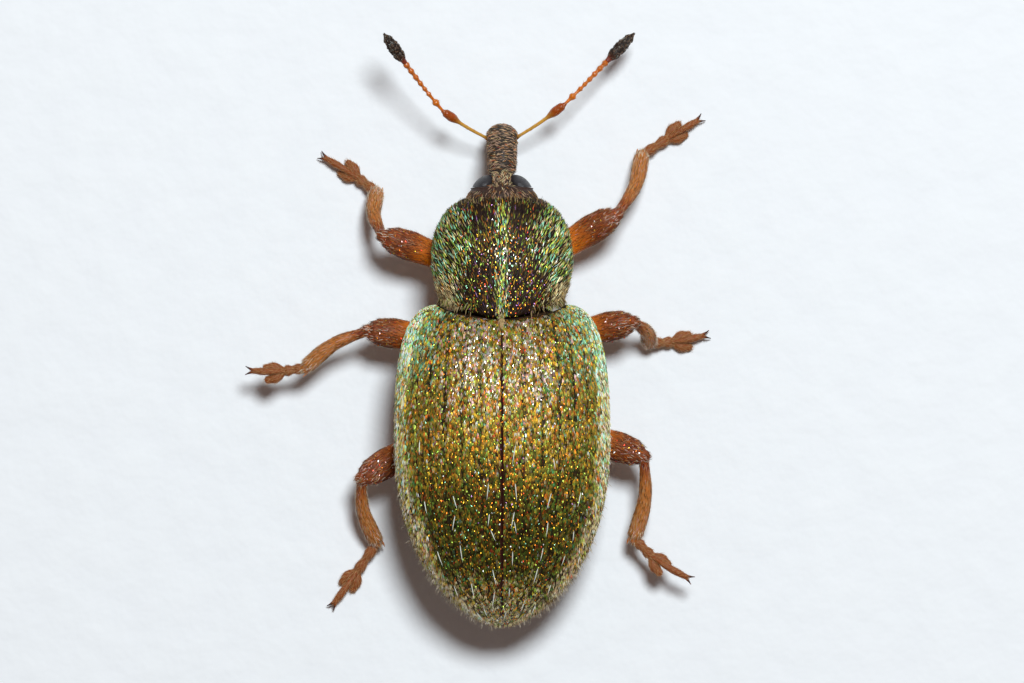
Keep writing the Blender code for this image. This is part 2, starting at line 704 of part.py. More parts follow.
def make_body():
    colour(shield("pronotum"), *SHIELD_GREEN)
    colour(carve(scutellum("scutellum"), hind_edge_cutter()), *PALE)
    for side, word in ((1.0, "left"), (-1.0, "right")):
        case = wing_case("wing_case_" + word, side)
        carve(case, hind_edge_cutter(), scutellum("cutter", GAP))
        colour(case, *GREEN)
    behind = block("cutter", (0.0, ABDOMEN_START_Y - GAP / 2.0 + 2.5, 0.0), (5.0, 5.0, 5.0))
    colour(carve(hind_body("thorax"), shield("cutter", GAP), behind), *BELLY_BROWN)
    colour(hind_body("abdomen", plates=True), *BELLY_BROWN)


def make_head():
    skull = carve(head("head"), shield("cutter", GAP), eye("cutter", 1.0, GAP), eye("cutter", -1.0, GAP))
    colour(skull, *BLACK)
    for side, word in ((1.0, "left"), (-1.0, "right")):
        colour(eye("eye_" + word, side), *EYE_BLACK)
    beak = fuse("snout", [snout("snout"), jaw(1.0), jaw(-1.0)])
    carve(beak, head("cutter", GAP), eye("cutter", 1.0, GAP), eye("cutter", -1.0, GAP))
    carve(beak, groove(1.0), groove(-1.0))
    colour(beak, *BLACK)


def make_feelers():
    for word, feeler in FEELERS.items():
        colour(carve(scape("scape_" + word, feeler), snout("cutter", GAP)), *RUSSET)
        colour(carve(stalk("stalk_" + word, feeler), scape("cutter", feeler, GAP)), *RUSSET)
        colour(carve(club("club_" + word, feeler), stalk("cutter", feeler, GAP)), *DARK_CLUB)


def make_legs():
    for place, leg in LEGS.items():
        trunk = shield if place.startswith("front") else hind_body
        pieces = (
            carve(hip("hip_" + place, place), trunk("cutter", GAP)),
            carve(thigh_with_joint("thigh_" + place, leg), trunk("cutter", GAP), hip("cutter", place, GAP)),
            carve(shin_with_spur("shin_" + place, leg), thigh("cutter", leg, GAP)),
            carve(foot("foot_" + place, leg), shin("cutter", leg, GAP)),
        )
        for piece in pieces:
            colour(piece, *RUSSET)


def stand_on_origin():
    """Centres the insect's bounding box over the origin, feet on the floor, and turns it into metres."""
    corners = [v.co for obj in bpy.context.scene.objects for v in obj.data.vertices]
    low = Vector(min(c[i] for c in corners) for i in range(3))
    high = Vector(max(c[i] for c in corners) for i in range(3))
    shift = Matrix.Translation(Vector((-(low.x + high.x) / 2.0, -(low.y + high.y) / 2.0, 0.0)))
    for obj in bpy.context.scene.objects:
        obj.data.transform(Matrix.Scale(MM, 4) @ shift)


def main():
    for obj in list(bpy.data.objects):
        bpy.data.objects.remove(obj)
    make_body()
    make_head()
    make_feelers()
    make_legs()
    stand_on_origin()


main()
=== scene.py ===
"""The looks of a black-beaked green weevil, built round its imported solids.

Everything is laid out in millimetres in the insect's own frame, as its solids are: x = 0 on the midline,
y = 0 close to the base of the wing cases, the head towards -Y, the insect's left side at +X, and the floor
at z = 0. A surface is a grid of points, rows by columns. Skins are meshed from such grids, and the coat of
scales and hairs is spread over them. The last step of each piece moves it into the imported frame, in metres.
"""

import math
from collections import namedtuple

import bpy
import numpy as np
from mathutils import Matrix, Vector


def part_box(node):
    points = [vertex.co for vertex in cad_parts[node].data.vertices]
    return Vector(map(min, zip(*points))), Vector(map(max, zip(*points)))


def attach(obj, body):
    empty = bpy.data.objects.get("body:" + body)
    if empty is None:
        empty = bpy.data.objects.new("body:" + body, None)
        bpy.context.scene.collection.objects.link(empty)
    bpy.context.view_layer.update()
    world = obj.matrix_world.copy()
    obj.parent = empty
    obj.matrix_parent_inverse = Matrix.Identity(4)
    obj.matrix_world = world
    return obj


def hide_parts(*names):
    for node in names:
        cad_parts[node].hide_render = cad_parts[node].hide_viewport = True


MM = 0.001  # a millimetre in metres

# Wing cases, as in the solids
CASE_BASE_Y = -0.04
CASE_TIP_Y = 2.69
CASE_HALF_WIDTH = 0.91
CASE_WIDEST_Y = 1.04
CASE_HIGHEST_Y = 1.05
CASE_RISE = 0.76
CASE_BASE_RISE = 0.52
CASE_SHOULDER = 0.005
CASE_FRONT_POWERS = (2.2, 7.5)
CASE_REAR_POWERS = (2.4, 1.6)
CASE_TOP_POWERS = (2.4, 1.7)
CASE_ROUNDING = 2.15
CASE_WALL = 0.07
CASE_EDGE_ANGLE = -20.0
WAIST_LEVEL_FRONT = 0.83
WAIST_LEVEL_REAR = 0.66
STRIAE = 10
STRIA_DEPTH = 0.011
STRIA_WIDTH = 0.009  # as a share of the way from the seam to the edge
PIT_SPACING = 0.048  # the pits along each groove
PIT_DEPTH = 0.006
SEAM_GAP = 0.003
SEAM_DIP = 0.008
BASE_CLEARANCE = 0.014  # from the pronotum's hind edge back to the wing cases
COAT_DEPTH = 0.006  # skins lie this far inside the solids
LIMB_DEPTH = 0.003  # and those of the limbs

# Body under the wing cases
BODY_INSET = CASE_WALL + 0.004
BELLY_DEPTH = 0.57
BELLY_ROUNDING = 2.3
ABDOMEN_START_Y = 1.10
BELLY_PLATES = 5
PLATE_STEP = 0.022
NECK_SHARE = 0.60
NECK_LEVEL = 0.80

SCUTELLUM_HALF_WIDTH = 0.030
SCUTELLUM_START_Y = 0.088
SCUTELLUM_TIP_Y = 0.175
SCUTELLUM_RISE = 0.012
SCUTELLUM_SINK = 0.02  # how far its middle lies below the wing cases

# Pronotum
SHIELD_HALF_WIDTH = 0.591
SHIELD_WIDEST_Y = -0.4165
SHIELD_FRONT_Y = -0.925
SHIELD_REAR_Y = -0.04
SHIELD_FRONT_AXIS = 0.590
SHIELD_REAR_AXIS = 0.68
SHIELD_TALL_AXES = (0.70, 0.95)
SHIELD_POWER = 2.2
SHIELD_LOBE = 0.125
SHIELD_RISE = 0.40
SHIELD_DROP = 0.40
SHIELD_LEVEL_FRONT = 0.79
SHIELD_LEVEL_REAR = 0.88
SHIELD_LIP = 0.022  # radius of the rolled front and hind edges

# Head and snout as one skin along one path: half widths and half heights against the share of the path
HEAD_PATH = ((0.0, -0.56, 0.785), (0.0, -0.78, 0.79), (0.0, -0.98, 0.80), (0.0, -1.14, 0.775),
             (0.0, -1.29, 0.64), (0.0, -1.42, 0.43), (0.0, -1.462, 0.19))
HEAD_WIDTHS = ((0.0, 0.335), (0.167, 0.342), (0.26, 0.318), (0.333, 0.280), (0.357, 0.262), (0.374, 0.247),
               (0.384, 0.140), (0.40, 0.112), (0.4375, 0.098), (0.469, 0.095), (0.50, 0.099), (0.53, 0.104),
               (0.60, 0.120), (0.70, 0.127), (0.827, 0.126), (0.92, 0.136), (1.0, 0.105))
HEAD_HEIGHTS = ((0.0, 0.270), (0.167, 0.290), (0.26, 0.268), (0.333, 0.234), (0.357, 0.219), (0.382, 0.198),
                (0.406, 0.172), (0.4375, 0.131), (0.469, 0.106), (0.50, 0.096), (0.53, 0.095), (0.60, 0.108),
                (0.70, 0.113), (0.827, 0.113), (0.92, 0.122), (1.0, 0.094))
HEAD_ROOM = 0.030  # between the head and the inside of the pronotum's rim
CROWN_Y = -1.03  # level with the eyes' rear, where the hairs part
GROOVE_DEPTH = 0.022
WRINKLES = 34.0  # cross wrinkles along the whole path, of which the snout has half
WRINKLE_HEIGHT = 0.0045
WRINKLE_BOW = 0.018  # how far back a wrinkle's ends lie, as a share of the path
EYE_PLACE = (0.158, -1.030, 0.770)
EYE_AZIMUTH = 45.0
EYE_RADII = (0.121, 0.078, 0.175)
EYE_REAR_Y = -1.027
JAW_RADIUS = 0.030
JAW_LENGTH = 0.165

Feeler = namedtuple("Feeler", "base elbow club tip")
FEELERS = {
    "left": Feeler((0.118, -1.440, 0.38), (0.500, -1.672, 0.57), (0.829, -2.088, 0.78),
                   (1.000, -2.325, 0.86)),
    "right": Feeler((-0.118, -1.448, 0.38), (-0.532, -1.732, 0.49), (-0.897, -2.104, 0.44),
                    (-1.122, -2.334, 0.40)),
}
SCAPE_RADII = ((0.0, 0.020), (0.10, 0.013), (0.60, 0.015), (0.82, 0.040), (0.94, 0.036), (1.0, 0.018))
LONG_BEADS = ((0.30, 0.031, 0.012), (0.17, 0.021, 0.012))
SMALL_BEADS = 5
SMALL_BEAD_RADII = (0.020, 0.028)
CLUB_RADIUS = 0.052
CLUB_RINGS = (0.34, 0.56, 0.76)

Leg = namedtuple("Leg", "hip knee ankle pad toe")
LEGS = {
    "front_left": Leg((0.15, -0.30, 0.41), (1.01, -0.610, 0.56), (1.070, -0.990, 0.13),
                      (1.271, -1.140, 0.036), (1.492, -1.270, 0.070)),
    "front_right": Leg((-0.15, -0.30, 0.41), (-0.975, -0.795, 0.54), (-1.194, -1.305, 0.13),
                       (-1.468, -1.480, 0.036), (-1.653, -1.590, 0.070)),
    "middle_left": Leg((0.33, 0.27, 0.41), (1.140, 0.195, 0.50), (1.680, 0.510, 0.42), (1.900, 0.545, 0.40),
                       (2.110, 0.535, 0.42)),
    "middle_right": Leg((-0.33, 0.27, 0.41), (-1.115, 0.120, 0.52), (-1.255, 0.300, 0.13),
                        (-1.505, 0.285, 0.036), (-1.700, 0.240, 0.070)),
    "hind_left": Leg((0.42, 0.97, 0.345), (1.195, 1.450, 0.48), (1.067, 2.000, 0.13), (1.279, 2.310, 0.036),
                     (1.420, 2.500, 0.070)),
    "hind_right": Leg((-0.42, 0.97, 0.345), (-1.205, 1.260, 0.50), (-1.126, 1.965, 0.29),
                      (-1.310, 2.150, 0.32), (-1.560, 2.285, 0.35)),
}
HIP_RADII = {"front": (0.142, 0.150, 0.130), "middle": (0.135, 0.135, 0.115), "hind": (0.200, 0.110, 0.100)}
TROCHANTER_RADIUS = 0.075
TROCHANTER_SHARE = 0.20
TROCHANTER_DROP = 0.045
THIGH_RADII = ((0.0, 0.055), (0.18, 0.078), (0.42, 0.116), (0.66, 0.130), (0.84, 0.120), (0.94, 0.094),
               (1.0, 0.060))
THIGH_DEPTH = 0.84
THIGH_SAG = 0.040
SHIN_RADII = ((0.0, 0.046), (0.12, 0.045), (0.45, 0.058), (0.75, 0.069), (0.94, 0.068), (1.0, 0.050))
SHIN_BOW = 0.05
SPUR_LENGTH = 0.055
FOOT_JOINTS = ((0.0, 0.42, 0.030, 0.045), (0.42, 0.78, 0.030, 0.047))
LOBE_LENGTH = 0.150
LOBE_RADIUS = 0.047
LOBE_SPREAD = 0.052
LOBE_DEPTH = 0.70
CLAW_STALK_RADII = ((0.0, 0.019), (0.75, 0.031), (1.0, 0.024))
CLAW_LENGTH = 0.080
CLAW_RADIUS = 0.015
CLAW_SPLAY = 26.0
CLAW_DROP = 0.045

# The photograph: one pixel is this many millimetres, and the insect's own origin is at this pixel
PHOTO_SIZE = (1024, 683)
PIXEL = 0.0085
ORIGIN_PIXEL = (502.0, 308.0)
CAMERA_DISTANCE = 250.0
CAMERA_PLANE = 0.7  # the height at which the scale of the photograph holds
SENSOR = 36.0

UP = (0.0, 0.0, 1.0)
BACKWARD = (0.0, 1.0, 0.0)
SIDES = ((1.0, "left"), (-1.0, "right"))
COAT_LIMIT = 190_000  # triangles in one piece of the coat
PATCH = 0.003  # size of each scale's own patch on the unwrap


def unit(vectors):
    return vectors / np.maximum(np.linalg.norm(vectors, axis=-1, keepdims=True), 1e-12)


def mix(low, high, share):
    return low + (high - low) * share


def vec(*parts):
    """Points, directions or faces from their parts."""
    return np.stack(np.broadcast_arrays(*parts), axis=-1)


def blend(low, high, share):
    """Mixes two colours for each spot."""
    return mix(low, high, share[:, None])


def step(low, high, value):
    """0 below low, 1 above high, and smooth between them."""
    t = np.clip((value - low) / (high - low), 0.0, 1.0)
    return t * t * (3.0 - 2.0 * t)


def bump_at(value, centre, width):
    """1 at the centre, falling off to both sides."""
    return np.exp(-(((value - centre) / width) ** 2))


def arch(share, powers):
    """A rounded fall from 1 to 0 as share goes from 0 to 1, like the quarter of a superellipse."""
    return np.maximum(0.0, 1.0 - np.abs(share) ** powers[0]) ** (1.0 / powers[1])


def signed_power(value, power):
    return np.sign(value) * np.abs(value) ** power


def pair_before(table, share):
    """The places and values of a table, the pair before each share, and how far past it the share is."""
    places, values = np.array(table, float).T
    share = np.clip(share, places[0], places[-1])
    i = np.clip(np.searchsorted(places, share, side="right") - 1, 0, len(places) - 2)
    return places, values, i, (share - places[i]) / (places[i + 1] - places[i])


def profile(table, share):
    """A smooth value through (share, value) pairs, flat at each pair."""
    _, values, i, t = pair_before(table, share)
    return mix(values[i], values[i + 1], t * t * (3.0 - 2.0 * t))


def flowing(table, share):
    """A value through (share, value) pairs that keeps its slope across each pair."""
    places, values, i, t = pair_before(table, share)
    slopes = np.gradient(values, places)
    width = places[i + 1] - places[i]
    return ((2 * t ** 3 - 3 * t ** 2 + 1) * values[i] + (t ** 3 - 2 * t ** 2 + t) * width * slopes[i]
            + (3 * t ** 2 - 2 * t ** 3) * values[i + 1] + (t ** 3 - t ** 2) * width * slopes[i + 1])


def curve_through(points, share):
    """Points on the smooth curve through the given points, for shares from 0 to 1."""
    p = np.array([tuple(q) for q in points], float)
    spans = len(p) - 1
    p = np.vstack([2.0 * p[0] - p[1], p, 2.0 * p[-1] - p[-2]])
    at = np.minimum(np.asarray(share, float) * spans, spans - 1e-9)
    i = at.astype(int)
    t = (at - i)[..., None]
    p0, p1, p2, p3 = p[i], p[i + 1], p[i + 2], p[i + 3]
    return 0.5 * (2.0 * p1 + (p2 - p0) * t + (2.0 * p0 - 5.0 * p1 + 4.0 * p2 - p3) * t ** 2
                  + (3.0 * p1 - p0 - 3.0 * p2 + p3) * t ** 3)


def ripple(points, size, seed):
    """A smooth uneven value from -1 to 1 with features of about the given size in mm."""
    rng = np.random.default_rng(seed)
    total = np.zeros(points.shape[:-1])
    for _ in range(7):
        way = unit(rng.normal(size=3)) * rng.uniform(0.6, 1.5) * math.pi / size
        total += np.sin(points @ way + rng.uniform(0.0, 6.28) + 1.3 * np.sin(points @ way[[1, 2, 0]]))
    return total / 7.0 * 1.6


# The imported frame
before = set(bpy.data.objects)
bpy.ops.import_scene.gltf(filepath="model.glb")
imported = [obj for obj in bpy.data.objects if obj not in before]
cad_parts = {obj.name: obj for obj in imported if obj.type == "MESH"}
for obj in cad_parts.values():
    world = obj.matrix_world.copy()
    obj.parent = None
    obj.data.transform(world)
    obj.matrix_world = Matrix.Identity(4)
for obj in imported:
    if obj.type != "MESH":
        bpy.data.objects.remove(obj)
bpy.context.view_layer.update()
CASE_BOXES = [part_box("wing_case_left"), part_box("wing_case_right")]
MIDLINE_X = (CASE_BOXES[0][0].x + CASE_BOXES[1][1].x) / 2.0
SHIFT = np.array([MIDLINE_X / MM, CASE_BOXES[0][1].y / MM - CASE_TIP_Y, 0.0])
TO_ROW = Matrix.Scale(MM, 4) @ Matrix.Translation(Vector(SHIFT))


def turns_of(sides):
    """Angles evenly round a ring, in radians."""
    return 2.0 * np.pi * np.arange(sides) / sides


def limb_shares(steps, caps):
    """The share of its path at which each ring of a limb is, those of its round ends too."""
    return np.concatenate([np.zeros(caps[0]), np.linspace(0.0, 1.0, steps + 1), np.ones(caps[1])])


def share_along(points, start, end):
    """How far each point has come from start to end, as a share."""
    return (points - start) @ (end - start) / np.sum((end - start) ** 2)


def spun(x, y, degrees):
    """The place x, y turned about the origin."""
    c, s = math.cos(math.radians(degrees)), math.sin(math.radians(degrees))
    return x * c - y * s, x * s + y * c


def ball_grid(centre, radii, turn=0.0, sides=40, rows=24):
    """An ellipsoid turned about Z, in degrees, with poles along its own y axis."""
    along = -np.cos(np.pi * np.arange(1, rows) / rows)[:, None]
    around = turns_of(sides)
    swell = arch(along, (2.0, 2.0))
    x, y = spun(swell * np.cos(around) * radii[0], along * radii[1], turn)
    return vec(x, y, swell * np.sin(around) * radii[2]) + np.array(centre)


def limb_grid(path, radii, sides=28, steps=36, depth=1.0, caps=(4, 5), heights=None, table=profile):
    """A round-ended limb along a smooth path. radii is a table of half widths, heights one of half depths."""
    fine = curve_through(path, np.linspace(0.0, 1.0, 81))
    length = np.linalg.norm(np.diff(fine, axis=0), axis=1).sum()
    wide = lambda s: table(radii, np.asarray(s, float))
    tall = lambda s: table(heights, np.asarray(s, float)) if heights else wide(s) * depth
    shares = limb_shares(steps, caps)
    turns = [math.radians(90.0 * (i + 0.5) / caps[0]) for i in range(caps[0])]
    ends = [math.radians(90.0 * (i + 0.5) / caps[1]) for i in range(caps[1])][::-1]
    first, last = float(wide(0.0)), float(wide(1.0))
    past = np.concatenate([[-first * math.cos(t) for t in turns], np.zeros(steps + 1),
                           [last * math.cos(t) for t in ends]])
    fill = np.concatenate([[math.sin(t) for t in turns], np.ones(steps + 1), [math.sin(t) for t in ends]])
    small = 0.5 / length * min(first, last)
    ahead = unit(curve_through(path, np.minimum(1.0, shares + small))
                 - curve_through(path, np.maximum(0.0, shares - small)))
    side = unit(np.cross(ahead, UP))
    up = np.cross(side, ahead)
    centre = curve_through(path, shares) + ahead * past[:, None]
    around = turns_of(sides)
    across = (wide(shares) * fill)[:, None, None] * np.cos(around)[None, :, None] * side[:, None, :]
    rise = (tall(shares) * fill)[:, None, None] * np.sin(around)[None, :, None] * up[:, None, :]
    return centre[:, None, :] + across + rise


def ring_quads(rows, sides):
    """The faces between rings of points, and each point of a ring with the one after it."""
    i = np.arange(sides)
    j = (i + 1) % sides
    base = (np.arange(rows - 1) * sides)[:, None]
    return vec(base + i, base + j, base + j + sides, base + i + sides).reshape(-1, 4), i, j


def closed_skin(grid):
    """Points and faces of a closed skin over a grid of rings, with a pole at each end."""
    rows, sides = grid.shape[:2]
    points = np.vstack([grid.reshape(-1, 3), grid[0].mean(0), grid[-1].mean(0)])
    quads, i, j = ring_quads(rows, sides)
    last = (rows - 1) * sides
    fans = np.vstack([vec(rows * sides, j, i), vec(rows * sides + 1, last + i, last + j)])
    return points, turned_out(points, [quads, fans])


def turned_out(points, faces):
    """The faces of a closed surface, ordered so that they face outwards."""
    volume = 0.0
    for block in faces:
        for k in range(1, block.shape[1] - 1):
            a, b, c = points[block[:, 0]], points[block[:, k]], points[block[:, k + 1]]
            volume += float(np.einsum("ij,ij->", a, np.cross(b, c)))
    return faces if volume > 0.0 else [block[:, ::-1] for block in faces]


def mesh_from(name, points, faces, smooth=True):
    mesh = bpy.data.meshes.new(name)
    corners = np.concatenate([block.ravel() for block in faces])
    sizes = np.concatenate([np.full(len(block), block.shape[1]) for block in faces])
    mesh.vertices.add(len(points))
    mesh.vertices.foreach_set("co", np.ascontiguousarray(points, np.float32).ravel())
    mesh.loops.add(len(corners))
    mesh.loops.foreach_set("vertex_index", corners.astype(np.int32))
    mesh.polygons.add(len(sizes))
    mesh.polygons.foreach_set("loop_start", np.concatenate([[0], np.cumsum(sizes)[:-1]]).astype(np.int32))
    mesh.update(calc_edges=True)
    mesh.polygons.foreach_set("use_smooth", np.full(len(sizes), smooth))
    obj = bpy.data.objects.new(name, mesh)
    bpy.context.scene.collection.objects.link(obj)
    return obj


def paint(obj, tints):
    """Keeps a colour for each point of the mesh, which the materials read."""
    rgba = np.ones((len(obj.data.vertices), 4), np.float32)
    rgba[:, :3] = tints
    layer = obj.data.color_attributes.new(name="tint", type="FLOAT_COLOR", domain="POINT")
    layer.data.foreach_set("color", rgba.ravel())


def corner_points(obj):
    """The mesh's points in mm in the insect's own frame."""
    points = np.zeros(len(obj.data.vertices) * 3, np.float32)
    obj.data.vertices.foreach_get("co", points)
    return points.reshape(-1, 3).astype(float)


def finish_piece(obj, material, replaced=()):
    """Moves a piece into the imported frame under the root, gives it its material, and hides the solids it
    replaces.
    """
    obj.data.transform(TO_ROW)
    obj.data.materials.append(material)
    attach(obj, "root")
    if replaced:
        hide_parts(*replaced)


def skin_piece(name, grid, tint, material, replaced=()):
    """A closed skin over a grid of rings, tinted by a colour or by a function of its points."""
    points, faces = closed_skin(grid)
    obj = mesh_from(name, points, faces)
    paint(obj, tint(points) if callable(tint) else tint)
    finish_piece(obj, material, replaced)


def fuse(name, grids):
    """Joins closed skins that overlap into one, in mm."""
    first, *rest = [mesh_from(name, *closed_skin(grid)) for grid in grids]
    group = bpy.data.collections.new(name)
    for piece in rest:
        group.objects.link(piece)
    join = first.modifiers.new("join", "BOOLEAN")
    join.operation = "UNION"
    join.solver = "EXACT"
    join.operand_type = "COLLECTION"
    join.collection = group
    bpy.context.view_layer.update()
    graph = bpy.context.evaluated_depsgraph_get()
    mesh = bpy.data.meshes.new_from_object(first.evaluated_get(graph), depsgraph=graph)
    first.modifiers.clear()
    first.data = mesh
    mesh.shade_smooth()
    for piece in rest:
        bpy.data.objects.remove(piece)
    bpy.data.collections.remove(group)
    return first


# The coat: scales and hairs are closed, tapered blades, three-sided with a ridge along the top

class Spots(namedtuple("Spots", "place normal patch row column")):
    """Spots on a surface: place, normal, place on the unwrap, and shares along the rows and columns."""

    x = property(lambda spots: spots.place[:, 0])
    y = property(lambda spots: spots.place[:, 1])
    z = property(lambda spots: spots.place[:, 2])
    up = property(lambda spots: spots.normal[:, 2])
    many = property(lambda spots: len(spots.place))


SHORT_FORM = ((0.0, 0.60), (0.45, 1.0))  # share of the length, share of the full width
HAIR_FORM = ((0.0, 0.85), (0.5, 0.80))
ROOT_SINK = 0.0025
SCALE_SINK = 0.0003
FLANK_LIFT = 0.0050  # scales turned towards the light stand this far off the skin
PLASTIC_RATIO = 1.32471795724  # its powers spread points evenly over a square


def spread(grid, count, seed, wrap=True):
    """Spreads spots evenly over a grid: place, normal, unwrap place, and share along rows and columns."""
    rng = np.random.default_rng(seed)
    if wrap:
        grid = np.concatenate([grid, grid[:, :1]], axis=1)
    a, b, c, d = grid[:-1, :-1], grid[1:, :-1], grid[:-1, 1:], grid[1:, 1:]
    cross = np.cross(d - a, c - b)
    area = np.linalg.norm(cross, axis=2) / 2.0 + 1e-12
    rows, columns = area.shape
    row_sum = np.concatenate([[0.0], np.cumsum(area.sum(1))]) / area.sum()
    column_sum = np.concatenate([np.zeros((rows, 1)), np.cumsum(area, axis=1)], axis=1)
    column_sum /= column_sum[:, -1:]
    n = np.arange(count)
    jitter = rng.uniform(-0.3, 0.3, (2, count)) / math.sqrt(count)
    u = (0.5 + n / PLASTIC_RATIO + jitter[0]) % 1.0
    v = (0.5 + n / PLASTIC_RATIO ** 2 + jitter[1]) % 1.0
    row = np.clip(np.interp(u, row_sum, np.arange(rows + 1)), 0.0, rows - 1e-6)
    i = row.astype(int)
    flat = (np.arange(rows)[:, None] + column_sum * (1.0 - 1e-9)).ravel()
    column = np.interp(i + np.clip(v, 1e-6, 1.0 - 1e-6), flat, np.tile(np.arange(columns + 1), rows))
    column = np.clip(column, 0.0, columns - 1e-6)
    j = column.astype(int)
    s, t = (row - i)[:, None], (column - j)[:, None]
    place = mix(mix(a[i, j], b[i, j], s), mix(c[i, j], d[i, j], s), t)
    normal = unit(cross[i, j])
    if wrap:
        core = grid.mean(axis=1)[i]
        if np.einsum("ij,ij->", normal, place - core) < 0.0:
            normal = -normal
    elif normal[:, 2].sum() < 0.0:
        normal = -normal
    patch = np.stack([column / columns, row / rows], axis=1)
    return Spots(place, normal, patch, row / rows, column / columns)


def pick(spots, keep):
    return Spots(*[part[keep] for part in spots])


def along_surface(spots, way):
    """The wanted direction laid down on the surface at each spot."""
    way = np.broadcast_to(way, spots.normal.shape)
    return unit(way - spots.normal * np.einsum("ij,ij->i", way, spots.normal)[:, None])


def facing(spots, way, amount):
    """The same spots, with their scales turned some of the way towards a direction."""
    amount = np.broadcast_to(amount, spots.many)[:, None]
    return spots._replace(normal=unit(spots.normal + np.array(way) * amount))


def turned(along, normal, degrees):
    """Directions along the surface, turned about its normal."""
    a = np.radians(degrees)[:, None]
    return along * np.cos(a) + np.cross(normal, along) * np.sin(a)


def combed(rng, spots, way, jitter):
    """The wanted direction laid down on the surface, and turned by random degrees."""
    return turned(along_surface(spots, way), spots.normal, rng.normal(0.0, jitter, spots.many))


def by_chance(rng, chances, count=None):
    """Draws for each spot whether it is kept."""
    return rng.uniform(size=count or len(chances)) < chances


def blade_faces(stations):
    quads = [(3 * k + i, 3 * k + (i + 1) % 3, 3 * k + 3 + (i + 1) % 3, 3 * k + 3 + i)
             for k in range(stations - 1) for i in range(3)]
    last = 3 * (stations - 1)
    triangles = [(0, 2, 1)] + [(last + i, last + (i + 1) % 3, last + 3) for i in range(3)]
    return np.array(quads), np.array(triangles)


class Coat:
    """Collects blades and makes joined pieces of them."""

    def __init__(self):
        self.batches = []

    def add(self, spots, along, length, width, tint, rise=0.10, bend=0.0, thick=0.35, roll=0.0,
            form=HAIR_FORM, shift=0.0, sink=ROOT_SINK):
        """One blade on each spot. rise and bend lift it off the surface as shares of its length."""
        count = spots.many
        length, width, rise, bend, roll, shift, sink = (
            np.broadcast_to(value, count).astype(float)[:, None]
            for value in (length, width, rise, bend, roll, shift, sink))
        side = np.cross(along, spots.normal)
        flat = side * np.cos(roll) + spots.normal * np.sin(roll)
        ridge = spots.normal * np.cos(roll) - side * np.sin(roll)
        points, uvs = [], []
        for share, swell in (*form, (1.0, None)):
            centre = (spots.place + along * length * share + side * shift
                      + spots.normal * (length * (rise * share + bend * share ** 2) - sink))
            places = [(0.0, centre)] if swell is None else [
                (-0.5, centre - flat * width * swell / 2.0), (0.5, centre + flat * width * swell / 2.0),
                (0.0, centre + ridge * width * swell * thick)]
            for across, place in places:
                points.append(place)
                uvs.append(spots.patch + np.array([across, share - 0.5]) * PATCH)
        tones = np.broadcast_to(np.broadcast_to(tint, (count, 3))[:, None], (count, len(points), 3))
        self.batches.append((len(form), np.stack(points, 1), tones, np.stack(uvs, 1)))

    def make(self, name, material, slot):
        """Makes the pieces, each under the limit of triangles."""
        chunks, load = [[]], 0
        for stations, points, tones, uvs in self.batches:
            per_blade = 6 * (stations - 1) + 4
            start = 0
            while start < len(points):
                room = (COAT_LIMIT - load) // per_blade
                if room < 1:
                    chunks.append([])
                    load = 0
                    continue
                end = min(len(points), start + room)
                chunks[-1].append((stations, points[start:end], tones[start:end], uvs[start:end]))
                load += (end - start) * per_blade
                start = end
        for number, chunk in enumerate(chunks):
            self.piece(name if number == 0 else f"{name}_{number + 1}", chunk, material, slot)

    @staticmethod
    def piece(name, chunk, material, slot):
        corners, quads, triangles, base = [], [], [], 0
        for stations, points, _, _ in chunk:
            per = points.shape[1]
            offset = (base + np.arange(len(points)) * per)[:, None, None]
            q, t = blade_faces(stations)
            quads.append((q + offset).reshape(-1, 4))
            triangles.append((t + offset).reshape(-1, 3))
            under_floor = np.minimum(points[..., 2].min(axis=1), 0.0)
            corners.append((points - under_floor[:, None, None] * np.array(UP)).reshape(-1, 3))
            base += len(points) * per
        points = np.vstack(corners)
        faces = turned_out(points - points.mean(0), [np.vstack(quads), np.vstack(triangles)])
        obj = mesh_from(name, points, faces, smooth=False)
        paint(obj, np.vstack([tones.reshape(-1, 3) for _, _, tones, _ in chunk]))
        uvs = np.vstack([uv.reshape(-1, 2) for *_, uv in chunk])
        layer = obj.data.uv_layers.new(name="OFBake")
        loops = np.concatenate([block.ravel() for block in faces])
        layer.data.foreach_set("uv", np.clip(uvs[loops], 0.0, 1.0).astype(np.float32).ravel())
        finish_piece(obj, material)


def srgb(red, green, blue):
    """A colour of 0 to 255 a channel as linear light."""
    c = np.array([red, green, blue], float) / 255.0
    return np.where(c <= 0.04045, c / 12.92, ((c + 0.055) / 1.055) ** 2.4)


def dimmed(rng, tints, low, high, count=None):
    """Gives each scale or hair its own brightness, between shares low and high of its tint."""
    return tints * rng.uniform(low, high, (count or len(tints), 1))


def choose(rng, count, weights):
    """Draws a colour of the palette for each spot. weights holds the chances of each by name."""
    chances = np.stack([np.broadcast_to(chance, count) for chance in weights.values()], axis=1)
    total = np.cumsum(chances, axis=1)
    drawn = rng.uniform(size=count) * total[:, -1]
    chosen = (drawn[:, None] > total).sum(axis=1)
    return np.array([PALETTE[name] for name in weights])[np.minimum(chosen, len(weights) - 1)]


PALETTE = {
    "olive": srgb(152, 132, 50), "gold": srgb(222, 172, 48), "copper": srgb(182, 116, 48),
    "orange": srgb(232, 122, 36), "green": srgb(124, 154, 58), "emerald": srgb(76, 150, 90),
    "teal": srgb(126, 186, 156), "ice": srgb(222, 228, 216), "umber": srgb(72, 52, 22),
    "cream": srgb(218, 204, 156), "violet": srgb(150, 104, 160), "red": srgb(206, 68, 44),
    "tan": srgb(196, 168, 118), "dark": srgb(40, 27, 20), "leaf": srgb(102, 110, 36),
    "lime": srgb(176, 196, 84), "rose": srgb(214, 168, 164), "fawn": srgb(196, 158, 130),
    "white": srgb(244, 240, 232), "aqua": srgb(150, 214, 176),
}


# Materials

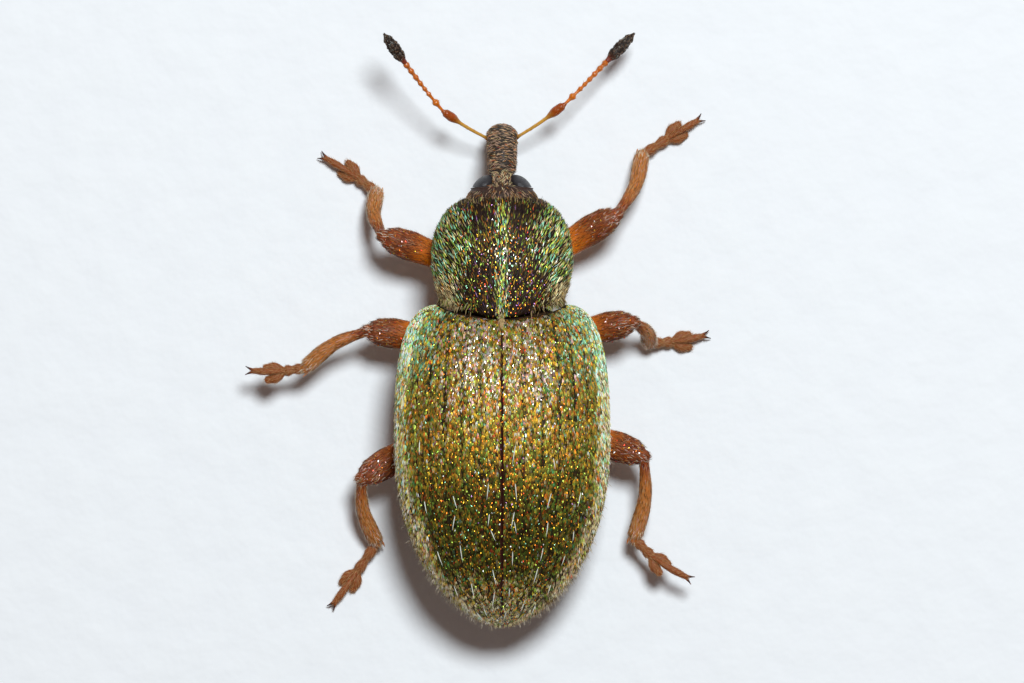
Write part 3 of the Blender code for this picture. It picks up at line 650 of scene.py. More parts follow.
def new_material(name, roughness, metallic=0.0, specular=0.5):
    material = bpy.data.materials.new(name)
    material.use_nodes = True
    shader = material.node_tree.nodes["Principled BSDF"]
    shader.inputs["Roughness"].default_value = roughness
    shader.inputs["Metallic"].default_value = metallic
    shader.inputs["Specular IOR Level"].default_value = specular
    return material, shader


def add_node(material, kind, inputs, **settings):
    """Adds a node and sets or links its inputs, by name or number. Gives its outputs."""
    node = material.node_tree.nodes.new("ShaderNode" + kind)
    for name, value in settings.items():
        setattr(node, name, value)
    for key, value in inputs.items():
        if isinstance(value, bpy.types.NodeSocket):
            link(material, value, node.inputs[key])
        else:
            node.inputs[key].default_value = value
    return node.outputs


def link(material, source, target):
    material.node_tree.links.new(source, target)


def texture(material, kind, size, **inputs):
    """A texture over the object's own coordinates, with features of a size in mm."""
    places = add_node(material, "TexCoord", {})["Object"]
    return add_node(material, "Tex" + kind, {"Vector": places, "Scale": 1.0 / (size * MM), **inputs})


def uneven(material, low, high, size, **inputs):
    """Noise between two values, with features of a size in mm."""
    noise = texture(material, "Noise", size, **inputs)["Fac"]
    return add_node(material, "MapRange", {"Value": noise, "To Min": low, "To Max": high})["Result"]


def tinted(material, shader, contrast=0.25, size=0.03):
    """Colours the surface by its tint, made lighter and darker by noise."""
    tint = add_node(material, "Attribute", {}, attribute_name="tint")["Color"]
    light = uneven(material, 1.0 - contrast, 1.0 + contrast, size, Detail=4.0, Roughness=0.6)
    shade = add_node(material, "VectorMath", {0: tint, "Scale": light}, operation="SCALE")
    link(material, shade["Vector"], shader.inputs["Base Color"])


def bumped(material, shader, distance, *heights):
    """Adds relief from pairs of a texture's output and its share, summed, distance high in mm."""
    total = 0.0
    for output, share in heights:
        total = add_node(material, "Math", {0: output, 1: share, 2: total}, operation="MULTIPLY_ADD")[0]
    relief = add_node(material, "Bump", {"Strength": 1.0, "Distance": distance * MM, "Height": total})
    link(material, relief["Normal"], shader.inputs["Normal"])


def make_cuticle(name, low, high, cell=0.014, distance=0.003, specular=0.5, soft=0.0):
    """Hard insect skin: fine cells, faint waves, and uneven gloss. soft is how much light goes into it."""
    material, shader = new_material(name, low, specular=specular)
    tinted(material, shader)
    cells = texture(material, "Voronoi", cell)["Distance"]
    waves = texture(material, "Noise", cell * 3.0, Detail=3.0)["Fac"]
    bumped(material, shader, distance, (cells, 1.0), (waves, 0.8))
    link(material, uneven(material, low, high, 0.05, Detail=2.0), shader.inputs["Roughness"])
    if soft:
        shader.inputs["Subsurface Weight"].default_value = soft
        shader.inputs["Subsurface Radius"].default_value = (1.0, 0.35, 0.1)
        shader.inputs["Subsurface Scale"].default_value = 0.06 * MM
    return material


def make_blades(name, low, high, metallic, specular):
    """Scales and hairs: each keeps its own tint."""
    material, shader = new_material(name, low, metallic, specular)
    tinted(material, shader, contrast=0.12, size=0.02)
    link(material, uneven(material, low, high, 0.012, Detail=2.0), shader.inputs["Roughness"])
    return material


def make_eye_material():
    material, shader = new_material("eye_facets", 0.42)
    tinted(material, shader, contrast=0.2, size=0.01)
    cells = texture(material, "Voronoi", 0.011, Randomness=0.25)["Distance"]
    bumped(material, shader, 0.004, (cells, -1.0))
    return material


def make_paper():
    material, shader = new_material("paper", 0.75, specular=0.2)
    noise = texture(material, "Noise", 0.35, Detail=3.0)["Fac"]
    colours = {"A": (*srgb(236, 240, 245), 1.0), "B": (*srgb(241, 245, 249), 1.0)}
    shade = add_node(material, "Mix", {**colours, "Factor": noise}, data_type="RGBA")
    link(material, shade["Result"], shader.inputs["Base Color"])
    bumped(material, shader, 0.02, (noise, 1.0))
    return material


SHELL = make_cuticle("shell", 0.5, 0.65, cell=0.012, distance=0.002, specular=0.2)
BEAK = make_cuticle("beak", 0.42, 0.6, cell=0.016, distance=0.003, specular=0.4)
AMBER = make_cuticle("amber", 0.42, 0.6, cell=0.013, soft=0.3, specular=0.3)
FEELER = make_cuticle("feeler", 0.20, 0.34, cell=0.010, distance=0.001, soft=0.3)
CLUB = make_cuticle("club_skin", 0.34, 0.5, cell=0.007, distance=0.002, specular=0.5)
UNDER = make_cuticle("under", 0.45, 0.65, cell=0.016, specular=0.3)
EYE = make_eye_material()
SCALES = make_blades("scales", 0.40, 0.58, 0.45, 0.15)
PALE_SCALES = make_blades("pale_scales", 0.38, 0.55, 0.08, 0.35)
GLINTS = make_blades("glints", 0.32, 0.46, 0.85, 0.5)
FLASHES = make_blades("flashes", 0.20, 0.30, 0.7, 0.5)
HAIRS = make_blades("hairs", 0.48, 0.64, 0.05, 0.25)


# Wing cases

def waist_level(y):
    return mix(WAIST_LEVEL_FRONT, WAIST_LEVEL_REAR, np.clip(y / CASE_TIP_Y, 0.0, 1.0) ** 2)


def case_section(y, inset):
    """Half width, rise and depth of the hind body at y, its walls moved in by inset."""
    tip = CASE_TIP_Y - inset
    reach = CASE_WIDEST_Y - CASE_BASE_Y + CASE_SHOULDER
    width = np.where(y < CASE_WIDEST_Y, arch(np.clip((CASE_WIDEST_Y - y) / reach, 0, 1), CASE_FRONT_POWERS),
                     arch(np.clip((y - CASE_WIDEST_Y) / (tip - CASE_WIDEST_Y), 0, 1), CASE_REAR_POWERS))
    share = (CASE_HIGHEST_Y - y) / (CASE_HIGHEST_Y - CASE_BASE_Y)
    rise = np.where(y < CASE_HIGHEST_Y, 1.0 - (1.0 - CASE_BASE_RISE) * share ** 2,
                    arch(np.clip((y - CASE_HIGHEST_Y) / (tip - CASE_HIGHEST_Y), 0, 1), CASE_TOP_POWERS))
    return (CASE_HALF_WIDTH - inset) * width, (CASE_RISE - inset) * rise, (BELLY_DEPTH - inset) * rise


def case_points(y, angle, inset, dent=0.0):
    """Points on the hind body: angle in degrees, 90 on the back, 0 at the side, -90 on the belly."""
    width, rise, depth = case_section(y, inset)
    a = np.radians(angle)
    height = np.where(angle >= 0.0, rise, depth)
    power = np.where(angle >= 0.0, CASE_ROUNDING, BELLY_ROUNDING)
    shrink = 1.0 - dent * np.minimum(1.0, width / (0.5 * CASE_HALF_WIDTH))
    across = signed_power(np.cos(a), 2.0 / power)
    up = signed_power(np.sin(a), 2.0 / power)
    return vec(width * across * shrink, y, waist_level(y) + height * up * shrink)


CASE_ROWS = 230
CASE_COLUMNS = 126  # six to each half interval between grooves
INNER_COLUMNS = 10
STRIA_SHARES = [2.0 * k / (2 * STRIAE + 1) for k in range(1, STRIAE + 1)]


def groove_depth(share, y):
    """How deep the grooves, their pits and the seam cut in, share running from the seam to the edge."""
    dent = SEAM_DIP * bump_at(share, 0.0, 0.012)
    for k, centre in enumerate(STRIA_SHARES):
        pits = 0.5 + 0.5 * np.cos(2.0 * np.pi * (y / PIT_SPACING + 0.37 * k))
        dent = dent + bump_at(share, centre, STRIA_WIDTH) * (STRIA_DEPTH + PIT_DEPTH * pits ** 2)
    return dent


CASE_ALONG = (0.5 - 0.5 * np.cos(np.pi * np.arange(CASE_ROWS) / CASE_ROWS))[:, None]


def case_start(angle):
    """Where the wing case begins, behind the arched hind edge of the pronotum."""
    return CASE_BASE_Y + BASE_CLEARANCE + SHIELD_LOBE * np.maximum(0.0, np.sin(np.radians(angle))) ** 3


def round_edge(distance, radius):
    """How far a rounded edge has fallen off at a distance from it."""
    share = np.clip(distance / radius, 0.0, 1.0)
    return radius * (1.0 - np.sqrt(np.clip(1.0 - (1.0 - share) ** 2, 0.0, 1.0)))


def case_surface(side, share, inset, outside):
    """One side of a wing case, share running from the seam to the edge."""
    share = share[None, :]
    angle = mix(90.0, CASE_EDGE_ANGLE, share)
    y = mix(case_start(angle), CASE_TIP_Y - inset, CASE_ALONG)
    dent = groove_depth(share, y) + round_edge(y - case_start(angle), CASE_LIP) if outside else 0.0
    grid = case_points(y, angle, inset, dent)
    grid[..., 0] = side * (SEAM_GAP + np.maximum(0.0, grid[..., 0]))
    return grid


def case_outer(side):
    return case_surface(side, np.linspace(0.0, 1.0, CASE_COLUMNS + 1), COAT_DEPTH, outside=True)


def case_shell(side):
    """Points and faces of one wing case: outside and inside, with a wall along the seam, side and base."""
    inner = case_surface(side, np.linspace(1.0, 0.0, INNER_COLUMNS), CASE_WALL, outside=False)
    grid = np.concatenate([case_outer(side), inner], axis=1)
    rows, sides = grid.shape[:2]
    points = np.vstack([grid.reshape(-1, 3), grid[-1].mean(0)])
    quads, i, j = ring_quads(rows, sides)
    last = (rows - 1) * sides
    tip = vec(rows * sides, last + i, last + j)
    column = np.arange(CASE_COLUMNS + 1)
    across = CASE_COLUMNS + 1 + np.round((1.0 - column / CASE_COLUMNS) * (INNER_COLUMNS - 1)).astype(int)
    wall = vec(column[1:], column[:-1], across[:-1])
    turn = across[:-1] != across[1:]
    corners = vec(column[1:], across[:-1], across[1:])[turn]
    return points, turned_out(points, [quads, np.vstack([tip, wall, corners])])


def case_tint(points):
    """The skin between the scales: dark olive brown, paler at the side and redder along the seam."""
    wide = np.sqrt(np.clip(1.0 - ((points[:, 1] - 1.1) / 1.75) ** 2, 0.05, 1.0)) * CASE_HALF_WIDTH
    base = blend(srgb(36, 28, 11), srgb(98, 88, 52), step(0.80, 0.97, np.abs(points[:, 0]) / wide))
    return blend(base, srgb(66, 26, 20), bump_at(points[:, 0], 0.0, 0.016))


def case_scale_tints(rng, spots):
    """Gold and olive back, dark olive behind, blue-green shoulders, pale sides and tip; painted light and
    shade.
    """
    share, y = spots.column, spots.y
    patch = ripple(spots.place, 0.5, 17)
    flank = step(0.36, 0.58, share + 0.03 * patch)
    hind = step(1.1, 1.9, y)
    left = step(0.0, 0.1, spots.x)
    inward = (0.07 + 0.02 * left) * hind  # the pale margin reaches further up towards the tip
    margin = step(0.50 - inward, 0.66 - inward, share + 0.03 * patch)
    shoulder = step(0.26, 0.46, share) * (1.0 - step(0.15, 0.75, y))
    rear = step(1.05, 1.75, y + 0.1 * patch) * (1.0 - 0.9 * margin)
    tip = step(2.10, 2.55, y)
    seam = bump_at(share, 0.0, 0.03) * step(0.7, 1.5, y)
    front = (1.0 - flank) * (1.0 - step(0.95, 1.5, y))
    # painted highlight: more white, cream and pink scales on the front of the back, where the lamp's
    # highlight falls
    painted_highlight = bump_at(share, 0.12, 0.15) * bump_at(y, 0.40, 0.40)
    middle = (1.0 - flank) * step(0.8, 1.1, y) * (1.0 - step(1.5, 1.9, y))
    weights = {
        "olive": 3.4, "umber": 1.2 + 5.0 * rear + 4.0 * seam, "gold": 1.8 + 1.4 * middle - 1.2 * rear,
        "copper": 0.9 + 1.2 * front + 2.5 * seam, "orange": 0.45 + 0.35 * middle, "green": 1.0 + 0.9 * rear,
        "leaf": 1.6 + 3.2 * rear, "lime": 0.45 + flank, "emerald": 0.15 + shoulder + 0.3 * rear,
        "teal": 0.05 + 0.9 * margin * (1.0 - hind) + 2.5 * shoulder,
        "aqua": margin * (1.0 - 0.8 * hind) + 4.5 * shoulder,
        "ice": 0.06 + 1.4 * margin * (1.0 - 0.7 * hind) + 0.2 * front + 2.2 * painted_highlight,
        "fawn": 3.0 * margin * hind, "dark": 1.2 * margin * hind,
        "cream": 0.15 + 4.0 * margin + 4.0 * tip + 0.3 * front + 0.8 * painted_highlight,
        "tan": 0.5 * front + 1.2 * margin + 1.5 * tip, "rose": 0.2 * front + 2.6 * painted_highlight, "red": 0.10,
    }
    for name in weights:
        if name not in EDGE_COLOURS:
            weights[name] = weights[name] * (1.0 - 0.7 * tip) * (1.0 - 0.55 * margin)
    tints = shaded(rng, choose(rng, spots.many, weights))
    # painted shade: the hind slope, which faces away from the lamp, is darkened beyond its darker olive
    # colours, except at the tip
    tints = tints * (1.0 - 0.40 * rear * (1.0 - tip))[:, None]
    pale = np.clip(0.85 * margin + 0.8 * shoulder + 0.7 * tip, 0.0, 1.0) * (1.0 - 0.35 * rear)
    # pale margin scales, and painted light on the flanks: brighter still on the left side, which faces away
    # from the lamp
    bright = 1.0 + margin * (0.55 - 0.25 * hind * (1.0 - left) + left * (0.35 + 0.25 * hind))
    bright = bright + 0.15 * shoulder + 0.45 * tip * (1.0 - 0.5 * margin)
    bright = bright - (0.12 + 0.08 * (1.0 - left)) * bump_at(share, 0.42, 0.16) * bump_at(y, 0.75, 0.45)
    # painted shade: the front edge of the back, under the pronotum's hind edge, is darkened
    bright = bright - 0.30 * (1.0 - step(0.03, 0.12, y)) * (1.0 - step(0.34, 0.46, share))
    return np.minimum(1.0, tints * bright[:, None]), by_chance(rng, pale)


def shaded(rng, tints):
    """Makes some of the scales bright and many dim."""
    shade = rng.choice(SHADES, len(tints), p=SHADE_SHARES)[:, None]
    return np.minimum(1.0, tints * shade * rng.uniform(0.85, 1.15, shade.shape))


EDGE_COLOURS = ("cream", "ice", "umber", "tan", "teal", "aqua", "fawn", "dark")  # not fewer where it is pale
CASE_LIP = 0.030
SCALES_EACH = 13000
LIP_SCALES = 16000  # over the whole wing case, of which the lip has its share
LIP_SHARE = 0.065
SCALE_LENGTH = 0.046
PRONG_WIDTH = 0.0080
PRONG_ANGLE = 6.0
PRONG_ROLL = 0.12
GLINTS_EACH = 2600
FLASHES_EACH = 4200
SHADES = (0.34, 0.66, 1.0, 1.45)  # how bright single scales are, and how many of each there are
SHADE_SHARES = (0.20, 0.30, 0.30, 0.20)


def from_stria(spots):
    """How far each spot is from the nearest groove, as a share of the way from the seam to the edge."""
    return np.min(np.abs(spots.column[:, None] - np.array(STRIA_SHARES)), axis=1)


def make_wing_cases():
    coat, pale, glints, flashes, bristles = Coat(), Coat(), Coat(), Coat(), Coat()
    for number, (side, word) in enumerate(SIDES):
        shell = mesh_from("case_" + word, *case_shell(side))
        paint(shell, case_tint(corner_points(shell)))
        finish_piece(shell, SHELL, ["wing_case_" + word])
        rng = np.random.default_rng(11 + number)
        outer = case_outer(side)
        add_case_scales(coat, pale, outer, rng, number)
        sparks = spread(outer, GLINTS_EACH, 31 + number, wrap=False)
        add_glints(glints, facing(sparks, UP, 0.5), rng, CASE_GLINT_SHARES)
        # painted highlight: white and pink scales set only on the front of the back, where the lamp's
        # highlight falls, and turned towards it
        gleams = spread(outer, FLASHES_EACH, 33 + number, wrap=False)
        lit = bump_at(gleams.column, 0.14, 0.11) * bump_at(gleams.y, 0.36, 0.32)
        gleams = pick(gleams, by_chance(rng, lit * step(0.004, 0.020, from_stria(gleams))))
        add_flashes(flashes, facing(gleams, HALFWAY, 0.7), rng)
        add_case_bristles(bristles, outer, 41 + number)
        add_case_fringe(bristles, outer, 45 + number)
    coat.make("case_scales", SCALES, "green_scales")
    pale.make("case_pale_scales", PALE_SCALES, "green_scales")
    glints.make("case_glints", GLINTS, "green_scales")
    flashes.make("case_flashes", FLASHES, "green_scales")
    bristles.make("case_bristles", HAIRS, "green_scales")


def add_case_scales(coat, pale, outer, rng, number):
    """Forked scales that lie backwards between the grooves and over the rounded front edge."""
    spots = spread(outer, SCALES_EACH, 21 + number, wrap=False)
    lip = spread(outer, LIP_SCALES, 23 + number, wrap=False)
    lip = pick(lip, lip.row < LIP_SHARE)
    spots = Spots(*(np.concatenate(pair) for pair in zip(spots, lip)))
    dashed = step(0.18, 0.34, spots.column) * (1.0 - step(0.50, 0.66, spots.column))
    dashed = dashed * (1.0 - 0.75 * step(0.7, 1.2, spots.y))
    bare = (from_stria(spots) < STRIA_WIDTH) & by_chance(rng, 0.30 + 0.55 * dashed)
    bare |= spots.column < mix(0.0042, 0.0070, step(0.8, 1.5, spots.y))
    spots = pick(spots, ~bare)
    count = spots.many
    spots = facing(spots, UP, 0.6 * step(0.30, 0.60, spots.column) + 1.1 * step(0.44, 0.70, spots.column))
    aim = combed(rng, spots, BACKWARD, 7.0)
    length = SCALE_LENGTH * rng.uniform(0.75, 1.2, count)
    tints, bright = case_scale_tints(rng, spots)
    rise = rng.uniform(0.05, 0.17, count)
    roll = rng.normal(0.0, 0.20, count)
    lift = SCALE_SINK - FLANK_LIFT * step(0.26, 0.55, spots.column)
    for way in (-1.0, 1.0):
        prong = turned(aim, spots.normal, np.full(count, way * PRONG_ANGLE))
        for group, chosen in ((coat, ~bright), (pale, bright)):
            group.add(pick(spots, chosen), prong[chosen], length[chosen], PRONG_WIDTH, tints[chosen],
                      rise=rise[chosen], bend=-0.06, roll=roll[chosen] + way * PRONG_ROLL, thick=0.12,
                      form=SHORT_FORM, shift=-way * PRONG_WIDTH * 0.35, sink=lift[chosen])


CASE_GLINT_SHARES = {
    "orange": 1.6, "gold": 2.6, "green": 1.2, "lime": 1.4, "teal": 0.5, "red": 0.5, "violet": 0.1, "ice": 0.3,
}
SHIELD_GLINT_SHARES = {
    "orange": 1.2, "gold": 1.6, "green": 1.6, "lime": 1.2, "aqua": 0.5, "red": 1.0, "violet": 0.9,
    "white": 0.2, "rose": 0.6, "copper": 1.0,
}
FLASH_SHARES = {"white": 2.8, "ice": 0.8, "cream": 1.0, "rose": 1.3, "gold": 0.5}
LEG_GLINT_SHARES = {"orange": 1.2, "red": 1.6, "rose": 1.4, "white": 0.3, "gold": 0.4}
HALFWAY = (-0.07, -0.18, 1.0)  # halfway between the light and straight up


def add_glints(glints, spots, rng, shares):
    """Small bright scales of pure colours, tilted every way, some of which catch the light."""
    count = spots.many
    aim = combed(rng, spots, BACKWARD, 25.0)
    tints = np.minimum(1.0, choose(rng, count, shares) * 1.4)
    glints.add(spots, aim, rng.uniform(0.010, 0.020, count), rng.uniform(0.007, 0.011, count), tints,
               rise=rng.normal(0.16, 0.20, count), roll=rng.normal(0.0, 0.26, count), thick=0.10,
               form=SHORT_FORM, sink=-rng.uniform(0.003, 0.007, count))


def add_flashes(flashes, spots, rng):
    """Flat scales tinted white and pink, a painted highlight for the places where the back faces the light.
    """
    count = spots.many
    aim = combed(rng, spots, BACKWARD, 10.0)
    tints = dimmed(rng, choose(rng, count, FLASH_SHARES), 0.45, 1.0)
    flashes.add(spots, aim, rng.uniform(0.014, 0.026, count), rng.uniform(0.008, 0.012, count), tints,
                rise=rng.normal(0.06, 0.08, count), roll=rng.normal(0.0, 0.10, count), thick=0.08,
                form=SHORT_FORM, sink=-rng.uniform(0.004, 0.008, count))


def grid_spots(grid, i, j):
    """Spots at rows i and columns j of a grid of the back."""
    rows, columns = grid.shape[0] - 1, grid.shape[1] - 1
    i = np.clip(i, 1, rows - 1)
    j = np.clip(j, 1, columns - 1)
    normal = unit(np.cross(grid[i + 1, j] - grid[i - 1, j], grid[i, j + 1] - grid[i, j - 1]))
    outward = (grid[i, j] - np.array([0.0, 0.0, CASE_CORE_LEVEL])) * np.array([1.0, 0.0, 1.0])
    normal = normal * np.sign(np.einsum("ij,ij->i", normal, outward))[:, None]
    return Spots(grid[i, j], normal, vec(j / columns, i / rows), i / rows, j / columns)


CASE_CORE_LEVEL = 0.6
BRISTLE_INTERVALS = (1.1, 5.1, 9.3, 13.2)
BRISTLE_SPACING = 0.23
BRISTLE_FORM = ((0.0, 0.75), (0.35, 1.0), (0.7, 0.75))


def add_case_bristles(bristles, grid, seed):
    """White hairs in rows on the hind half."""
    rng = np.random.default_rng(seed)
    for interval in BRISTLE_INTERVALS:
        y = np.arange(1.05 + rng.uniform(0.0, 0.2), 2.62, BRISTLE_SPACING)
        y = y + rng.normal(0.0, 0.05, len(y))
        y = y[by_chance(rng, step(1.0, 1.8, y) * 0.85 + 0.08)]
        j = int(round(interval / (2.0 * STRIAE + 1.0) * CASE_COLUMNS))
        spots = grid_spots(grid, np.searchsorted(grid[:, j, 1], y), np.full(len(y), j))
        aim = combed(rng, spots, BACKWARD, 12.0)
        bristles.add(spots, aim, rng.uniform(0.10, 0.17, len(y)), 0.0085, srgb(232, 236, 226),
                     rise=rng.uniform(0.22, 0.36, len(y)), bend=-0.10, thick=0.5, form=BRISTLE_FORM)


def add_case_fringe(bristles, grid, seed):
    """Pale hairs standing out in small tufts along the hind margin and the tip."""
    rng = np.random.default_rng(seed)
    tufts = np.repeat(np.arange(1.95, 2.66, 0.055), 7)
    pairs = np.repeat(np.arange(1.05, 2.5, 0.085), 3)
    end_fuzz = rng.uniform(2.2, 2.68, 130)
    tufts = tufts + rng.normal(0.0, 0.007, len(tufts))
    pairs = pairs + rng.normal(0.0, 0.010, len(pairs))
    y_wanted = np.concatenate([tufts, pairs, end_fuzz])
    count = len(y_wanted)
    j = np.round(rng.uniform(0.66, 0.95, count) * CASE_COLUMNS).astype(int)
    i = np.array([np.searchsorted(grid[:, column, 1], y) for column, y in zip(j, y_wanted)])
    spots = grid_spots(grid, i, j)
    out = unit(spots.normal * np.array([1.0, 1.0, 0.25]))
    aim = unit(0.85 * out + np.array([0.0, 0.75, 0.05]) + rng.normal(0.0, 0.16, (count, 3)))
    flat = spots._replace(normal=unit(np.cross(np.cross(aim, UP), aim)))
    bristles.add(flat, aim, 0.074 * rng.uniform(0.6, 1.25, count), 0.0052,
                 dimmed(rng, srgb(214, 202, 180), 0.6, 1.1, count), rise=0.0,
                 bend=rng.uniform(-0.12, 0.04, count), thick=0.5)


# Pronotum

def barrel(y, axis):
    """The share of its full size that the pronotum has at y."""
    return arch((y - SHIELD_WIDEST_Y) / axis, (SHIELD_POWER, SHIELD_POWER))


# How many spots are spread over each surface, before some are thinned out
SHIELD_SCALES = 11000
SHIELD_GLINTS = 3600
SHIELD_FLASHES = 2600
EDGE_HAIRS = 9000
HIND_HAIRS = 60000
SCUTELLUM_HAIRS = 900
BELLY_SCALES = 11000
HEAD_HAIRS = 11500

SHIELD_ROWS = 120
SHIELD_SIDES = 180


def shield_grid():
    """The barrel of the pronotum, its edges rolled in and the hind one arched backwards over the middle."""
    share = (0.5 - 0.5 * np.cos(np.pi * np.arange(SHIELD_ROWS + 1) / SHIELD_ROWS))[:, None]
    turn = turns_of(SHIELD_SIDES)[None, :]
    y = mix(SHIELD_FRONT_Y, SHIELD_REAR_Y, share)
    front = y < SHIELD_WIDEST_Y
    swell = barrel(y, np.where(front, SHIELD_FRONT_AXIS, SHIELD_REAR_AXIS))
    tall_swell = barrel(y, np.where(front, *SHIELD_TALL_AXES))
    level = mix(SHIELD_LEVEL_FRONT, SHIELD_LEVEL_REAR, share)
    across, up = np.cos(turn), np.sin(turn)
    height = np.where(up > 0.0, SHIELD_RISE, SHIELD_DROP)
    lobe = SHIELD_LOBE * share ** 4 * np.maximum(0.0, up) * (1.0 - across ** 2)
    lip = round_edge(y - SHIELD_FRONT_Y, SHIELD_LIP) + round_edge(SHIELD_REAR_Y - y, SHIELD_LIP)
    half, tall = SHIELD_HALF_WIDTH * swell - COAT_DEPTH - lip, height * tall_swell - COAT_DEPTH - lip
    return vec(half * across, y + lobe, level + tall * up)


def shield_tint(points):
    return blend(srgb(36, 20, 15), srgb(34, 28, 14), step(0.30, 0.5, np.abs(points[:, 0])))


def shield_zones(spots):
    """Shares of the pale midline, the dark bands beside it, the tan hind corners and the front margin."""
    x, y = np.abs(spots.x) / SHIELD_HALF_WIDTH, spots.y
    above = step(0.72, 0.84, spots.z)
    stripe = bump_at(x, 0.0, 0.042) * (1.0 - 0.6 * bump_at(y, -0.55, 0.12))
    stripe = np.clip(stripe * (0.8 + 0.4 * ripple(spots.place, 0.08, 6)), 0.0, 1.0) * above
    reach = 0.46 + 0.16 * step(-0.75, -0.90, y) + 0.20 * step(-0.45, -0.15, y)
    outside = step(reach - 0.12, reach + 0.10, x + 0.10 * ripple(spots.place, 0.3, 5))
    band = step(0.06, 0.12, x) * (1.0 - outside) * above
    corner = step(-0.30, -0.14, y) * step(0.52, 0.74, x)
    front = 1.0 - step(-0.91, -0.80, y)
    return stripe, band, corner, front


def make_pronotum():
    grid = shield_grid()
    skin_piece("pronotum_skin", grid, shield_tint, SHELL, ["pronotum"])
    rng = np.random.default_rng(51)
    coat, glints, flashes = Coat(), Coat(), Coat()
    add_shield_scales(coat, grid, rng)
    sparks = spread(grid, SHIELD_GLINTS, 54)
    amid = (1.0 - step(0.45, 0.7, np.abs(sparks.x) / SHIELD_HALF_WIDTH)) * step(-0.80, -0.5, sparks.y)
    shown = by_chance(rng, 0.12 + 0.55 * amid) & (sparks.up > 0.2)
    shown &= (sparks.row > 0.03) & (sparks.row < 0.975)
    add_glints(glints, pick(sparks, shown), rng, SHIELD_GLINT_SHARES)
    # painted highlight: white and pink scales set only on the middle of the pronotum, where the lamp's
    # highlight falls
    gleams = spread(grid, SHIELD_FLASHES, 55)
    lit = 0.9 * bump_at(gleams.x, -0.03, 0.14) * bump_at(gleams.y, -0.47, 0.16)
    add_flashes(flashes, pick(gleams, (gleams.up > 0.3) & by_chance(rng, lit)), rng)
    add_edge_tufts(coat, grid, rng)
    add_hind_tufts(coat, grid, rng)
    coat.make("pronotum_hairs", SCALES, "shield_scales")
    glints.make("pronotum_glints", GLINTS, "shield_scales")
    flashes.make("pronotum_flashes", FLASHES, "shield_scales")


def add_shield_scales(coat, grid, rng):
    """Scales that lie forwards and outwards, in the colours of their zones."""
    spots = spread(grid, SHIELD_SCALES, 52)
    spots = pick(spots, (spots.row > 0.008) & (spots.row < 0.992))
    stripe, band, corner, front = shield_zones(spots)
    thin = 0.10 * band * (1.0 - stripe) + 0.22 * (1.0 - band) * (1.0 - stripe)
    spots = pick(spots, ~by_chance(rng, thin))
    stripe, band, corner, front = shield_zones(spots)
    under = 1.0 - step(0.45, 0.85, spots.z)
    x = spots.x / SHIELD_HALF_WIDTH
    flow = vec(0.95 * x * (1.0 - 0.4 * front), -1.0, 0.0)
    flank = (1.0 - band) * (1.0 - stripe) * (1.0 - corner) * (1.0 - front) * (1.0 - 0.7 * under)
    spots = facing(spots, UP, 0.6 * step(0.5, 0.85, np.abs(x)) * (1.0 - under))
    lift = SCALE_SINK - 0.6 * FLANK_LIFT * step(0.45, 0.8, np.abs(x)) * (1.0 - under)
    aim = combed(rng, spots, flow, 12.0)
    centre = band * (1.0 - stripe) * bump_at(spots.y, -0.52, 0.17)
    weights = {
        "dark": 6.0 * band * (1.0 - stripe) * (1.0 - 0.6 * centre) + 4.4 * flank + 2.0 * front,
        "umber": 2.8 * band + under + 2.6 * front, "copper": 0.5 * band + 0.1, "olive": 0.5 + 1.6 * centre,
        "leaf": 0.8 * flank + 0.8 * band + centre, "green": 1.3 * flank + stripe + 0.3 * band,
        "emerald": 0.9 * flank + 0.5 * stripe, "lime": 1.6 * flank + 2.2 * stripe,
        "teal": 1.6 * flank + 1.2 * stripe, "aqua": 0.6 * flank + 0.4 * stripe,
        "cream": 0.9 * flank + 0.8 * stripe + 4.0 * corner,
        "tan": 1.7 * flank + 3.6 * corner + 0.9 * front + 2.0 * under, "gold": 0.15 + 2.0 * stripe,
        "orange": 0.06, "red": 0.06, "violet": 0.20 * band, "ice": 0.2 * flank + 0.3 * stripe,
    }
    tints = shaded(rng, choose(rng, spots.many, weights))
    bright = 1.0 + 0.25 * flank + (0.2 + 0.5 * step(-0.55, -0.25, spots.y)) * stripe - 0.15 * band
    tints = np.minimum(1.0, tints * bright[:, None])
    length = mix(0.048, 0.054, flank) * rng.uniform(0.75, 1.2, spots.many)
    coat.add(spots, aim, length, mix(0.0078, 0.0092, flank), tints, rise=rng.uniform(0.05, 0.18, spots.many),
             bend=-0.05, thick=0.16, roll=rng.normal(0.0, 0.20, spots.many), form=SHORT_FORM, sink=lift)


def add_edge_tufts(coat, grid, rng):
    """Tan hairs that stand out along the sides and over the front edge."""
    tufts = spread(grid, EDGE_HAIRS, 53)
    beside = (np.abs(tufts.x) / SHIELD_HALF_WIDTH > 0.78) & (np.abs(tufts.z - 0.86) < 0.18)
    edge = beside & by_chance(rng, 0.30, tufts.many)
    edge |= (tufts.y < -0.87) & (tufts.up > 0.0) & by_chance(rng, 0.25, tufts.many)
    tufts = pick(tufts, edge & (tufts.row > 0.01) & (tufts.row < 0.98))
    count = tufts.many
    aim = combed(rng, tufts, vec(1.3 * tufts.x, -1.0, 0.2), 20.0)
    coat.add(tufts, aim, rng.uniform(0.04, 0.07, count), 0.0052,
             dimmed(rng, PALETTE["tan"], 0.12, 0.8, count), rise=rng.uniform(0.25, 0.6, count), bend=0.08)


